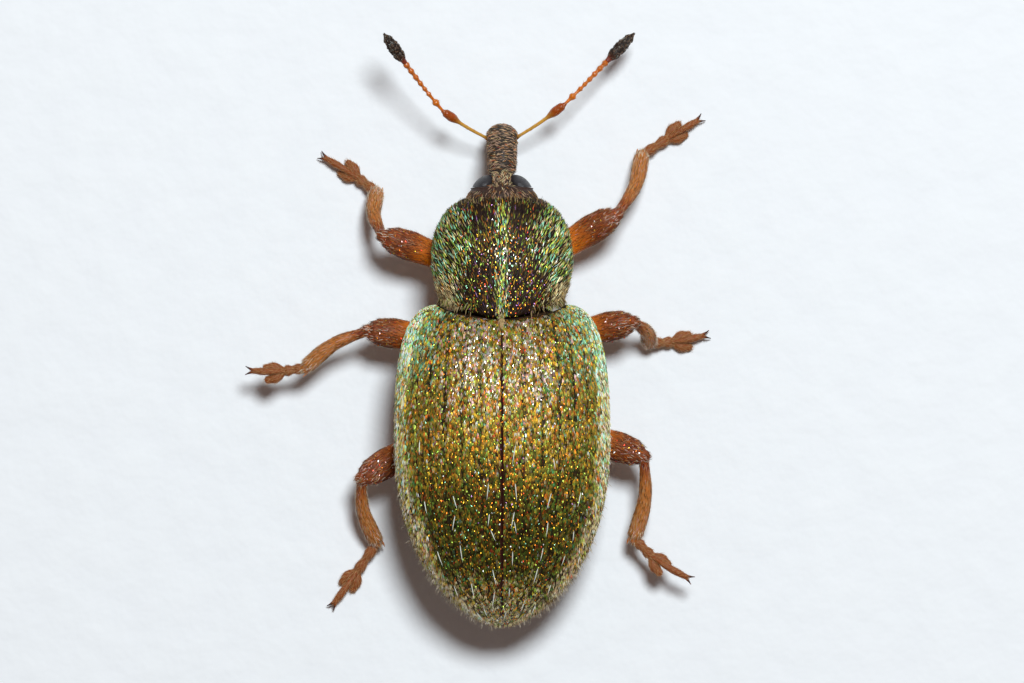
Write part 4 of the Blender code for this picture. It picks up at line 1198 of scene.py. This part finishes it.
def add_hind_tufts(coat, grid, rng):
    """Tan tufts over the hind corners, and a pale point of hairs over the lobe, which all lie backwards."""
    spots = spread(grid, HIND_HAIRS, 56)
    x = np.abs(spots.x / SHIELD_HALF_WIDTH)
    chance = 0.07 + 0.16 * step(0.62, 0.74, x) + 0.20 * step(0.72, 0.82, x)
    chance = chance * ((spots.row > 0.84) & (spots.row < 0.975) & (x > 0.42) & (spots.up > -0.1))
    chance = chance + 0.5 * ((spots.row > 0.88) & (x < 0.05) & (spots.up > 0.3))
    spots = pick(spots, by_chance(rng, chance))
    x = spots.x / SHIELD_HALF_WIDTH
    count = spots.many
    inner = np.abs(x) < 0.2
    straight = vec(np.where(inner, -3.0 * x, 0.30 * x), 1.0, 0.0)
    aim = unit(straight + rng.normal(0.0, 0.32, (count, 3)) * np.array([1.0, 0.0, 0.4]))
    spots = spots._replace(normal=unit(np.cross(np.cross(aim, UP), aim)))
    weights = {
        "tan": 3.0, "cream": 1.6 + 2.0 * inner, "gold": 1.2 * inner, "umber": 1.2 * ~inner, "lime": 0.8,
    }
    tints = dimmed(rng, choose(rng, count, weights), 0.5, 1.1)
    length = rng.uniform(0.030, 0.060, count) * np.where(inner, 1.0, 1.25)
    coat.add(spots, aim, length, 0.0068, tints, rise=rng.uniform(-0.10, 0.15, count), bend=-0.10, thick=0.25,
             form=SHORT_FORM, sink=-0.002)


SCUTELLUM_ROWS = 14
SCUTELLUM_SIDES = 20


def make_scutellum():
    shares = np.linspace(0.0, 1.0, SCUTELLUM_ROWS)[:, None]
    half = SCUTELLUM_HALF_WIDTH * (1.0 - shares) ** 0.8 * np.minimum(1.0, 0.55 + 3.0 * shares) + 0.001
    y = mix(SCUTELLUM_START_Y, SCUTELLUM_TIP_Y, shares)
    base = case_points(y, 90.0, 0.0)[..., 2] - SCUTELLUM_SINK
    turn = turns_of(SCUTELLUM_SIDES)
    rise = (SCUTELLUM_RISE + SCUTELLUM_SINK) * np.sin(turn) * np.sqrt(half / half[0])
    grid = vec(half * np.cos(turn), y, base + rise)
    skin_piece("scutellum_skin", grid, PALETTE["tan"] * 0.5, SHELL, ["scutellum"])
    rng = np.random.default_rng(61)
    spots = spread(grid, SCUTELLUM_HAIRS, 62)
    spots = pick(spots, spots.up > 0.55)
    count = spots.many
    aim = combed(rng, spots, vec(-5.0 * spots.x, 1.0, 0.0), 9.0)
    coat = Coat()
    coat.add(spots, aim, 0.030 * rng.uniform(0.8, 1.2, count), 0.0055,
             dimmed(rng, PALETTE["tan"], 0.5, 1.2, count), rise=rng.uniform(0.06, 0.16, count),
             form=SHORT_FORM, sink=SCALE_SINK)
    coat.make("scutellum_hairs", HAIRS, "pale_scales")


# Body underneath

UNDER_ROWS = 170
UNDER_SIDES = 120


def under_grid():
    """Thorax and abdomen as one, with the belly's plates overlapping like roof tiles."""
    end = CASE_TIP_Y - BODY_INSET
    y = mix(CASE_BASE_Y - 0.12, end - 0.002, np.linspace(0.0, 1.0, UNDER_ROWS) ** 0.9)[:, None]
    angle = np.linspace(0.0, 360.0, UNDER_SIDES + 1)[None, :-1]
    angle = np.where(angle <= 180.0, angle, angle - 360.0)
    grid = case_points(np.maximum(y, CASE_BASE_Y + 0.01), angle, BODY_INSET)
    grid[..., 1] = y
    narrow = mix(NECK_SHARE, 1.0, step(-0.02, 0.16, y))
    grid[..., 0] *= narrow
    grid[..., 2] = mix(NECK_LEVEL, grid[..., 2], narrow)
    share = ((y - ABDOMEN_START_Y) / ((end - ABDOMEN_START_Y) / BELLY_PLATES)) % 1.0
    down = np.maximum(0.0, -np.sin(np.radians(angle)))
    room = np.minimum(1.0, 4.0 * (end - y)) * (y > ABDOMEN_START_Y)
    grid[..., 2] += PLATE_STEP * room * (1.0 - share) * down
    return grid


def under_tint(points):
    return blend(srgb(60, 42, 30), srgb(84, 60, 40), step(0.1, 0.5, np.abs(points[:, 0])))


def make_under_body():
    grid = under_grid()
    skin_piece("under_skin", grid, under_tint, UNDER, ["thorax", "abdomen"])
    rng = np.random.default_rng(71)
    spots = spread(grid, BELLY_SCALES, 72)
    spots = pick(spots, (spots.z < waist_level(spots.y) - 0.08) & (spots.y > 0.0))
    count = spots.many
    aim = combed(rng, spots, BACKWARD, 12.0)
    weights = {"tan": 3.0, "cream": 2.5, "olive": 1.0, "green": 0.5, "copper": 0.6}
    tints = dimmed(rng, choose(rng, count, weights), 0.6, 1.1)
    coat = Coat()
    coat.add(spots, aim, 0.055 * rng.uniform(0.7, 1.2, count), 0.009, tints,
             rise=rng.uniform(0.05, 0.2, count), thick=0.15, form=SHORT_FORM)
    coat.make("belly_scales", HAIRS, "belly")


# Head

HEAD_STEPS = 230
HEAD_CAPS = (1, 10)
EYE_CLEARING = (0.135, 0.125, 0.185)  # half axes of the room round each eye without hairs


def head_grid():
    """Head and snout, wrinkled and grooved, and narrow enough behind to fit into the pronotum."""
    grid = limb_grid(HEAD_PATH, HEAD_WIDTHS, sides=96, steps=HEAD_STEPS, caps=HEAD_CAPS, heights=HEAD_HEIGHTS,
                     table=flowing)
    share = limb_shares(HEAD_STEPS, HEAD_CAPS)[:, None]
    turn = turns_of(grid.shape[1])[None, :]
    centre = grid.mean(axis=1, keepdims=True)
    window = step(0.56, 0.64, share) * (1.0 - step(0.90, 0.98, share))
    dent = GROOVE_DEPTH * window * bump_at(np.sin(turn), 0.0, 0.22)
    bow = WRINKLE_BOW * np.cos(turn) ** 2
    waves = np.sin(2.0 * np.pi * (share - bow) * WRINKLES + 1.4 * ripple(grid, 0.12, 3))
    dent = dent - WRINKLE_HEIGHT * waves * step(0.49, 0.54, share) * (1.0 - step(0.84, 0.96, share))
    grid = grid + unit(centre - grid) * dent[..., None]
    x, y, z = np.moveaxis(grid, -1, 0)
    behind = np.clip((y - SHIELD_FRONT_Y) / (SHIELD_REAR_Y - SHIELD_FRONT_Y), 0.0, 1.0)
    level = mix(SHIELD_LEVEL_FRONT, SHIELD_LEVEL_REAR, behind)
    inside = np.maximum(y, SHIELD_FRONT_Y)
    width = SHIELD_HALF_WIDTH * barrel(inside, SHIELD_FRONT_AXIS) - HEAD_ROOM
    height = SHIELD_RISE * barrel(inside, SHIELD_TALL_AXES[0]) - HEAD_ROOM
    reach = np.sqrt((x / width) ** 2 + ((z - level) / height) ** 2) + 1e-9
    loose = 1.0 + 6.0 * np.maximum(0.0, SHIELD_FRONT_Y - 0.01 - y)
    shrink = np.minimum(1.0, loose / reach)
    return vec(x * shrink, y, level + (z - level) * shrink)


def head_tint(points):
    """Brown behind the eyes, blackish on the snout."""
    snout = blend(srgb(46, 38, 32), srgb(62, 60, 60), 1.0 - step(0.30, 0.55, points[:, 2]))
    return blend(snout, srgb(54, 32, 22), step(-1.20, -1.02, points[:, 1]))


def make_head():
    grid = head_grid()
    skin_piece("head_skin", grid, head_tint, BEAK, ["head", "snout"])
    rng = np.random.default_rng(81)
    spots = spread(grid, HEAD_HAIRS, 82)
    bare = (np.abs(spots.x) > 0.11) & (np.abs(spots.y - EYE_REAR_Y) < 0.022)
    for side, _ in SIDES:
        gap = (spots.place - eye_place(side)) / np.array(EYE_CLEARING)
        bare |= (np.linalg.norm(gap, axis=1) < 1.0) & (spots.y < EYE_REAR_Y + 0.03)
    spots = pick(spots, ~bare & (spots.y < -0.86) & (spots.z > 0.14))
    x, y, count = spots.x, spots.y, spots.many
    crown = step(-1.20, -1.09, y)[:, None]
    way = np.sign(x + rng.normal(0.0, 0.045, count))
    ahead = mix(vec(way, 0.55, -0.6), vec(0.45 * way, -1.0, -0.3), crown)
    behind = by_chance(rng, step(CROWN_Y - 0.02, CROWN_Y + 0.02, y))
    aim = combed(rng, spots, np.where(behind[:, None], vec(4.5 * x, 1.0, 0.0), ahead), 15.0)
    pale = step(-1.20, -1.12, y) * (1.0 - step(-1.05, -1.01, y)) * (1.0 - step(0.07, 0.13, np.abs(x)))
    snout = 1.0 - step(-1.24, -1.15, y)
    vertex = step(-1.04, -1.0, y)
    weights = {
        "fawn": 2.4 + 1.2 * snout, "tan": 0.9, "cream": 0.2 + 2.4 * pale, "umber": 2.0,
        "dark": 2.2 + 0.6 * vertex, "copper": 0.5 + 1.2 * vertex, "orange": 0.10, "red": 0.10,
    }
    tints = dimmed(rng, choose(rng, count, weights), 0.4, 1.1) * (1.0 + 0.35 * snout)[:, None]
    length = np.select([snout > 0.5, vertex > 0.5], [0.036, 0.042], 0.050) * rng.uniform(0.7, 1.2, count)
    coat = Coat()
    coat.add(spots, aim, length, mix(0.0044, 0.0062, pale), tints, rise=rng.uniform(0.05, 0.20, count),
             bend=-0.05, form=SHORT_FORM, sink=SCALE_SINK)
    coat.make("head_hairs", HAIRS, "black_beak")
    for side, word in SIDES:
        make_eye(side, word)
        make_jaw(side, word)


def eye_place(side):
    return np.array(EYE_PLACE) * np.array([side, 1.0, 1.0])


def make_eye(side, word):
    grid = ball_grid(eye_place(side), EYE_RADII, EYE_AZIMUTH * side, sides=72, rows=48)
    grid[..., 1] = np.minimum(grid[..., 1], EYE_REAR_Y)
    skin_piece("eye_dome_" + word, grid, srgb(40, 38, 42), EYE, ["eye_" + word])


def make_jaw(side, word):
    root = curve_through(HEAD_PATH, np.array([0.985]))[0] + np.array([side * 0.036, 0.0, 0.0])
    tip = root + np.array([side * -0.020, -0.012, -JAW_LENGTH])
    middle = mix(root, tip, 0.6) + np.array([side * 0.018, 0.0, 0.0])
    radii = ((0.0, JAW_RADIUS), (0.6, JAW_RADIUS), (1.0, 0.010))
    grid = limb_grid((root, middle, tip), radii, sides=20, steps=16)
    skin_piece("jaw_" + word, grid, srgb(58, 30, 20), BEAK)


# Feelers

def bead_radii():
    """The stalk's radius along it: two long beads on thin stems, then a row of small round ones."""
    table = []
    start = 0.0
    for length, radius, stem in LONG_BEADS:
        table += [(start, stem), (start + length * 0.40, stem * 1.15), (start + length * 0.74, radius)]
        start += length
    length = (1.0 - start) / SMALL_BEADS
    for i in range(SMALL_BEADS):
        radius = mix(SMALL_BEAD_RADII[0], SMALL_BEAD_RADII[1], i / (SMALL_BEADS - 1))
        table += [(start, radius * 0.55), (start + length * 0.55, radius)]
        start += length
    return table + [(1.0, SMALL_BEAD_RADII[1] * 0.6)]


def club_radii():
    table = [(0.0, 0.022)]
    for ring in CLUB_RINGS:
        swell = CLUB_RADIUS * math.sin(math.pi * (ring * 0.88 + 0.06)) ** 0.8
        table += [(ring - 0.06, swell), (ring, swell * 0.90), (ring + 0.03, swell * 0.97)]
    return table + [(1.0, 0.010)]


# Chances of each colour of hair on the limbs, and how much they grow towards a limb's end. Dark hairs make a
# net over the amber thighs
CLUB_DOWN = {"dark": 3.0, "umber": 1.5, "fawn": 0.8, "ice": 0.25}
THIGH_HAIRS = {"dark": 2.2, "umber": 1.6, "copper": 1.0, "tan": 0.06, "rose": 0.0, "red": 0.10, "orange": 0.5}
THIGH_END = {"dark": 1.2, "tan": 0.9, "rose": 0.4}
HIP_HAIRS = {"tan": 1.6, "fawn": 0.8, "umber": 1.4, "copper": 1.0, "green": 0.3}
SHIN_HAIRS = {"dark": 1.0, "umber": 1.2, "copper": 1.1, "tan": 0.8, "fawn": 0.5, "rose": 0.2, "orange": 0.2}
SHIN_END = {"dark": -0.8, "tan": 2.0, "rose": 0.8}


def hair_tint(rng, weights, shade, growth=None, end=(0.0, 1.0)):
    """Colours hairs by weights, which can grow towards the limb's end, and gives each its own brightness."""
    def tint(spots):
        far = step(*end, spots.row)
        chances = {name: weight + (growth or {}).get(name, 0.0) * far for name, weight in weights.items()}
        return dimmed(rng, choose(rng, spots.many, chances), *shade)
    return tint


def hairs_on_limb(coat, rng, grid, path, count, length, width, tint, seed, rise=(0.15, 0.45), jitter=14.0,
                  ends=(0.1, 0.97), where=None):
    """Hairs along a limb, lying towards its end."""
    spots = spread(grid, count, seed)
    spots = pick(spots, (spots.row > ends[0]) & (spots.row < ends[1]))
    if where:
        spots = pick(spots, by_chance(rng, where(spots)))
    share = np.clip(spots.row, 0.02, 0.98)
    aim = combed(rng, spots, curve_through(path, share + 0.02) - curve_through(path, share - 0.02), jitter)
    colours = tint(spots) if callable(tint) else dimmed(rng, tint, 0.75, 1.2, spots.many)
    coat.add(spots, aim, length * rng.uniform(0.7, 1.25, spots.many), width, colours,
             rise=rng.uniform(*rise, spots.many), bend=-0.05, sink=SCALE_SINK)


def make_feelers():
    rng = np.random.default_rng(91)
    coat, down = Coat(), Coat()
    for number, (word, feeler) in enumerate(FEELERS.items()):
        base, elbow, club, tip = (np.array(p) for p in feeler)
        scape_path = (base, mix(base, elbow, 0.5) + np.array([0.0, 0.012, 0.010]), elbow)
        scape = limb_grid(scape_path, SCAPE_RADII, sides=28, steps=60)
        bend = mix(elbow, club, 0.4) + np.array([math.copysign(-0.016, elbow[0]), -0.012, 0.0])
        stalk_path = (elbow, bend, club)
        stalk = limb_grid(stalk_path, bead_radii(), sides=28, steps=150)
        club_grid = limb_grid((club, tip), club_radii(), sides=36, steps=70)
        obj = fuse("feeler_" + word, [scape, stalk])
        paint(obj, feeler_tint(corner_points(obj), base, elbow, club))
        finish_piece(obj, FEELER, ["scape_" + word, "stalk_" + word])
        tint = club_tint(closed_skin(club_grid)[0], club, tip)
        skin_piece("club_skin_" + word, club_grid, tint, CLUB, ["club_" + word])
        hairs_on_limb(coat, rng, scape, scape_path, 60, 0.024, 0.0024, PALETTE["tan"], 92 + number)
        hairs_on_limb(coat, rng, stalk, stalk_path, 150, 0.026, 0.0024, PALETTE["tan"], 94 + number,
                      rise=(0.3, 0.7))
        down_tint = hair_tint(rng, CLUB_DOWN, (0.35, 0.9))
        hairs_on_limb(down, rng, club_grid, (club, tip), 2200, 0.018, 0.0030, down_tint, 96 + number,
                      rise=(0.05, 0.3), ends=(0.12, 0.93))
    coat.make("feeler_hairs", HAIRS, "russet_leg")
    down.make("club_down", HAIRS, "dark_club")


def feeler_tint(points, base, elbow, club):
    """Straw-coloured stem, brown at its club, and orange beads."""
    along = np.clip(share_along(points, base, elbow), 0.0, 1.0)
    far = np.clip(share_along(points, elbow, club), 0.0, 1.0)
    stem = blend(srgb(198, 150, 62), srgb(150, 66, 10), step(0.55, 0.82, along))
    stem = blend(stem, srgb(120, 70, 20), bump_at(along, 0.0, 0.08))
    beads = blend(srgb(206, 112, 22), srgb(190, 98, 24), far)
    return blend(stem, beads, step(0.0, 0.06, far))


def club_tint(points, club, tip):
    return blend(srgb(120, 44, 18), srgb(30, 18, 18), step(0.02, 0.26, share_along(points, club, tip)))


# Legs

def shin_path(leg):
    start, end = np.array(leg.knee), np.array(leg.ankle)
    along = unit(end - start)
    out = np.array([math.copysign(1.0, start[0]), 0.0, 0.0])
    bow = unit(out - along * out.dot(along)) * SHIN_BOW
    start = start - along * 0.015
    return start, mix(start, end, 0.5) + bow, end


def thigh_path(leg):
    start = mix(np.array(leg.hip), np.array(leg.knee), 0.12)
    end = np.array(leg.knee)
    return start, mix(start, end, 0.55) - np.array([0.0, 0.0, THIGH_SAG]), end


def spur_grid(leg):
    """The spur on the inner side of a shin's end."""
    start, middle, end = shin_path(leg)
    along = unit(end - middle)
    inward = np.array([-math.copysign(1.0, start[0]), 0.0, 0.0])
    inward = unit(inward - along * inward.dot(along))
    root = end - along * 0.02 + inward * 0.030
    tip = end + along * SPUR_LENGTH + inward * 0.050
    middle = mix(root, tip, 0.6) + inward * 0.006
    return limb_grid((root, middle, tip), ((0.0, 0.016), (1.0, 0.004)), sides=12, steps=8, caps=(2, 2))


def foot_forms(leg):
    """Two short joints, the lobed pad and the claw joint as (path, grid), and the two claws."""
    ankle, pad, toe = np.array(leg.ankle), np.array(leg.pad), np.array(leg.toe)
    ahead = unit(pad - ankle)
    side = unit(np.cross(ahead, UP))
    onward = unit(toe - pad)
    start = ankle - ahead * 0.015
    forms = []

    def add_form(path, radii, steps, depth=1.0):
        forms.append((path, limb_grid(path, radii, sides=20, steps=steps, depth=depth)))

    for low, high, narrow, wide in FOOT_JOINTS:
        path = (mix(start, pad, low), mix(start, pad, high))
        add_form(path, ((0.0, narrow), (0.75, wide), (1.0, wide * 0.8)), 14, 0.85)
    third = mix(start, pad, FOOT_JOINTS[-1][1])
    for way in (-1.0, 1.0):
        end = third + ahead * LOBE_LENGTH + side * way * LOBE_SPREAD
        end[2] = pad[2]
        path = (third, mix(third, end, 0.5) + side * way * 0.012, end)
        add_form(path, ((0.0, 0.028), (0.6, LOBE_RADIUS), (1.0, LOBE_RADIUS * 0.7)), 14, LOBE_DEPTH)
    path = (third + np.array([0.0, 0.0, 0.014]), mix(pad, toe, 0.4) + np.array([0.0, 0.0, 0.030]), toe)
    add_form(path, CLAW_STALK_RADII, 20)
    claws = []
    for way in (-1.0, 1.0):
        splay = np.array([*spun(onward[0], onward[1], CLAW_SPLAY * way), onward[2]])
        tip = toe + splay * CLAW_LENGTH - np.array([0.0, 0.0, CLAW_DROP])
        bend = mix(toe, tip, 0.55) + np.array([0.0, 0.0, 0.020])
        path = (toe - onward * 0.012, bend, tip)
        claws.append(limb_grid(path, ((0.0, CLAW_RADIUS), (1.0, 0.004)), sides=12, steps=14, caps=(2, 2)))
    return forms, claws


def slimmer(table):
    """The same limb without the depth of its coat."""
    return tuple((share, radius - LIMB_DEPTH) for share, radius in table)


def flat_below(grid):
    """Nothing reaches past the floor."""
    grid = grid.copy()
    grid[..., 2] = np.maximum(grid[..., 2], 0.0)
    return grid


def leg_tint(leg, points):
    """Amber thigh, browner at the knee, tan shin, brown foot and dark claws."""
    hip, knee, ankle, pad, toe = (np.array(p) for p in leg)
    thigh = np.clip(share_along(points, hip, knee), 0.0, 1.0)
    shin = np.clip(share_along(points, knee, ankle), 0.0, 1.0)
    foot = np.clip(share_along(points, ankle, toe), 0.0, 1.2)
    colour = blend(srgb(232, 124, 4), srgb(134, 62, 22), step(0.42, 0.80, thigh))
    colour = blend(srgb(84, 48, 24), colour, step(0.10, 0.24, thigh))
    along_shin = blend(srgb(138, 54, 16), srgb(184, 112, 52), step(0.05, 0.40, shin))
    colour = blend(colour, along_shin, step(0.02, 0.10, shin))
    colour = blend(colour, srgb(136, 70, 26), step(0.0, 0.12, foot))
    return blend(colour, srgb(52, 30, 22), step(0.01, 0.05, (points - toe) @ unit(toe - pad)))


def denser_to_the_end(spots):
    """Thins the hairs out where the limb leaves the body."""
    return mix(0.15, 1.0, step(0.28, 0.70, spots.row))


def rim_or_end(spots):
    """Keeps hairs on the limb's front and hind rims, and towards its end."""
    return 0.75 * (1.0 - step(0.10, 0.50, spots.up)) + 0.5 * step(0.65, 1.0, spots.row)


def make_legs():
    rng = np.random.default_rng(101)
    for number, (place, leg) in enumerate(LEGS.items()):
        coat = Coat()
        seed = 110 + 10 * number
        hip = ball_grid(leg.hip, HIP_RADII[place.split("_")[0]], sides=36, rows=22)
        thigh = limb_grid(thigh_path(leg), slimmer(THIGH_RADII), sides=36, steps=44, depth=THIGH_DEPTH)
        joint_place = mix(np.array(leg.hip), np.array(leg.knee), TROCHANTER_SHARE)
        joint_place[2] -= TROCHANTER_DROP
        radii = (TROCHANTER_RADIUS, TROCHANTER_RADIUS, TROCHANTER_RADIUS * 0.9)
        joint = ball_grid(joint_place, radii, sides=24, rows=14)
        shin = limb_grid(shin_path(leg), slimmer(SHIN_RADII), sides=30, steps=44)
        forms, claws = foot_forms(leg)
        grids = [hip, thigh, joint, shin, spur_grid(leg)] + [flat_below(grid) for _, grid in forms] + claws
        obj = fuse("leg_" + place, grids)
        paint(obj, leg_tint(leg, corner_points(obj)))
        parts = [part + "_" + place for part in ("hip", "thigh", "shin", "foot")]
        finish_piece(obj, AMBER, parts)
        net = hair_tint(rng, THIGH_HAIRS, (0.5, 1.0), THIGH_END, (0.35, 0.85))
        fleece = hair_tint(rng, HIP_HAIRS, (0.5, 1.0))
        fur = hair_tint(rng, SHIN_HAIRS, (0.6, 1.0), SHIN_END, (0.45, 0.9))
        hairs_on_limb(coat, rng, thigh, thigh_path(leg), 1900, 0.044, 0.0036, net, seed, rise=(0.05, 0.13),
                      jitter=10.0, where=denser_to_the_end)
        for k, (ball, many) in enumerate(((hip, 900), (joint, 300))):
            hairs_on_limb(coat, rng, ball, (leg.hip, leg.knee), many, 0.036, 0.0036, fleece, seed + 600 + k,
                          rise=(0.05, 0.25), ends=(0.02, 0.98))
        hairs_on_limb(coat, rng, thigh, thigh_path(leg), 1000, 0.040, 0.0032, srgb(236, 222, 204), seed + 8,
                      rise=(0.25, 0.6), where=rim_or_end)
        hairs_on_limb(coat, rng, shin, shin_path(leg), 900, 0.042, 0.0040, fur, seed + 1, rise=(0.05, 0.16),
                      ends=(0.08, 0.98), jitter=10.0)
        hairs_on_limb(coat, rng, shin, shin_path(leg), 800, 0.040, 0.0032, srgb(232, 218, 196), seed + 9,
                      rise=(0.25, 0.6), ends=(0.08, 0.98), where=rim_or_end)
        for k, (path, grid) in enumerate(forms):
            hairs_on_limb(coat, rng, flat_below(grid), path, 180, 0.032, 0.0034, srgb(180, 136, 90),
                          seed + 2 + k, rise=(0.15, 0.5))
        coat.make("leg_hairs_" + place, HAIRS, "russet_leg")
        sparks = spread(thigh, 420, seed + 7)
        shown = by_chance(rng, 0.5 * step(0.35, 0.85, sparks.row)) & (sparks.up > 0.3) & (sparks.row < 0.93)
        glints = Coat()
        add_glints(glints, pick(sparks, shown), rng, LEG_GLINT_SHARES)
        glints.make("leg_glints_" + place, GLINTS, "russet_leg")


# Floor, light and camera

FLOOR_HALF = 0.4  # in metres
SKY_COLOUR = (1.0, 0.75, 0.66, 1.0)
SKY_STRENGTH = 0.143
INSECT_MIDDLE = (0.0, 0.6, 0.8)


def make_stage():
    corners = [(x * FLOOR_HALF, y * FLOOR_HALF, 0.0) for x, y in ((-1, -1), (1, -1), (1, 1), (-1, 1))]
    mesh = bpy.data.meshes.new("floor")
    mesh.from_pydata(corners, [], [(0, 1, 2, 3)])
    floor = bpy.data.objects.new("floor", mesh)
    bpy.context.scene.collection.objects.link(floor)
    mesh.materials.append(make_paper())
    world = bpy.data.worlds.new("sky")
    bpy.context.scene.world = world
    world.use_nodes = True
    sky = world.node_tree.nodes["Background"].inputs
    sky["Color"].default_value = SKY_COLOUR
    sky["Strength"].default_value = SKY_STRENGTH


def add_light(name, way, distance, size, power, colour):
    """A round soft light, distance in mm towards way from the middle of the insect."""
    data = bpy.data.lights.new(name, "AREA")
    data.shape = "DISK"
    data.size = size * MM
    data.energy = power
    data.color = colour
    lamp = bpy.data.objects.new(name, data)
    way = Vector(way).normalized()
    target = Vector(to_row_point(INSECT_MIDDLE))
    lamp.location = target + way * distance * MM
    lamp.rotation_euler = way.to_track_quat("Z", "Y").to_euler()
    bpy.context.scene.collection.objects.link(lamp)


def to_row_point(point):
    return (np.array(point) + SHIFT) * MM


def make_camera():
    """Looks straight down as the photograph does, with the head towards the top of the picture."""
    middle = (ORIGIN_PIXEL[0] - PHOTO_SIZE[0] / 2.0, PHOTO_SIZE[1] / 2.0 - ORIGIN_PIXEL[1])
    data = bpy.data.cameras.new("camera")
    data.sensor_width = SENSOR
    data.lens = SENSOR * CAMERA_DISTANCE / (PHOTO_SIZE[0] * PIXEL)
    data.clip_start = 20.0 * MM
    data.clip_end = 10.0
    camera = bpy.data.objects.new("camera", data)
    camera.location = to_row_point((middle[0] * PIXEL, middle[1] * PIXEL, CAMERA_PLANE + CAMERA_DISTANCE))
    camera.rotation_euler = (0.0, 0.0, math.pi)
    bpy.context.scene.collection.objects.link(camera)
    bpy.context.scene.camera = camera


make_wing_cases()
make_pronotum()
make_scutellum()
make_under_body()
make_head()
make_feelers()
make_legs()
make_stage()
add_light("key", way=(-0.15, -0.38, 1.0), distance=70.0, size=19.0, power=0.0498, colour=(0.932, 0.984, 1.0))
make_camera()
bpy.context.scene.view_settings.view_transform = "Standard"
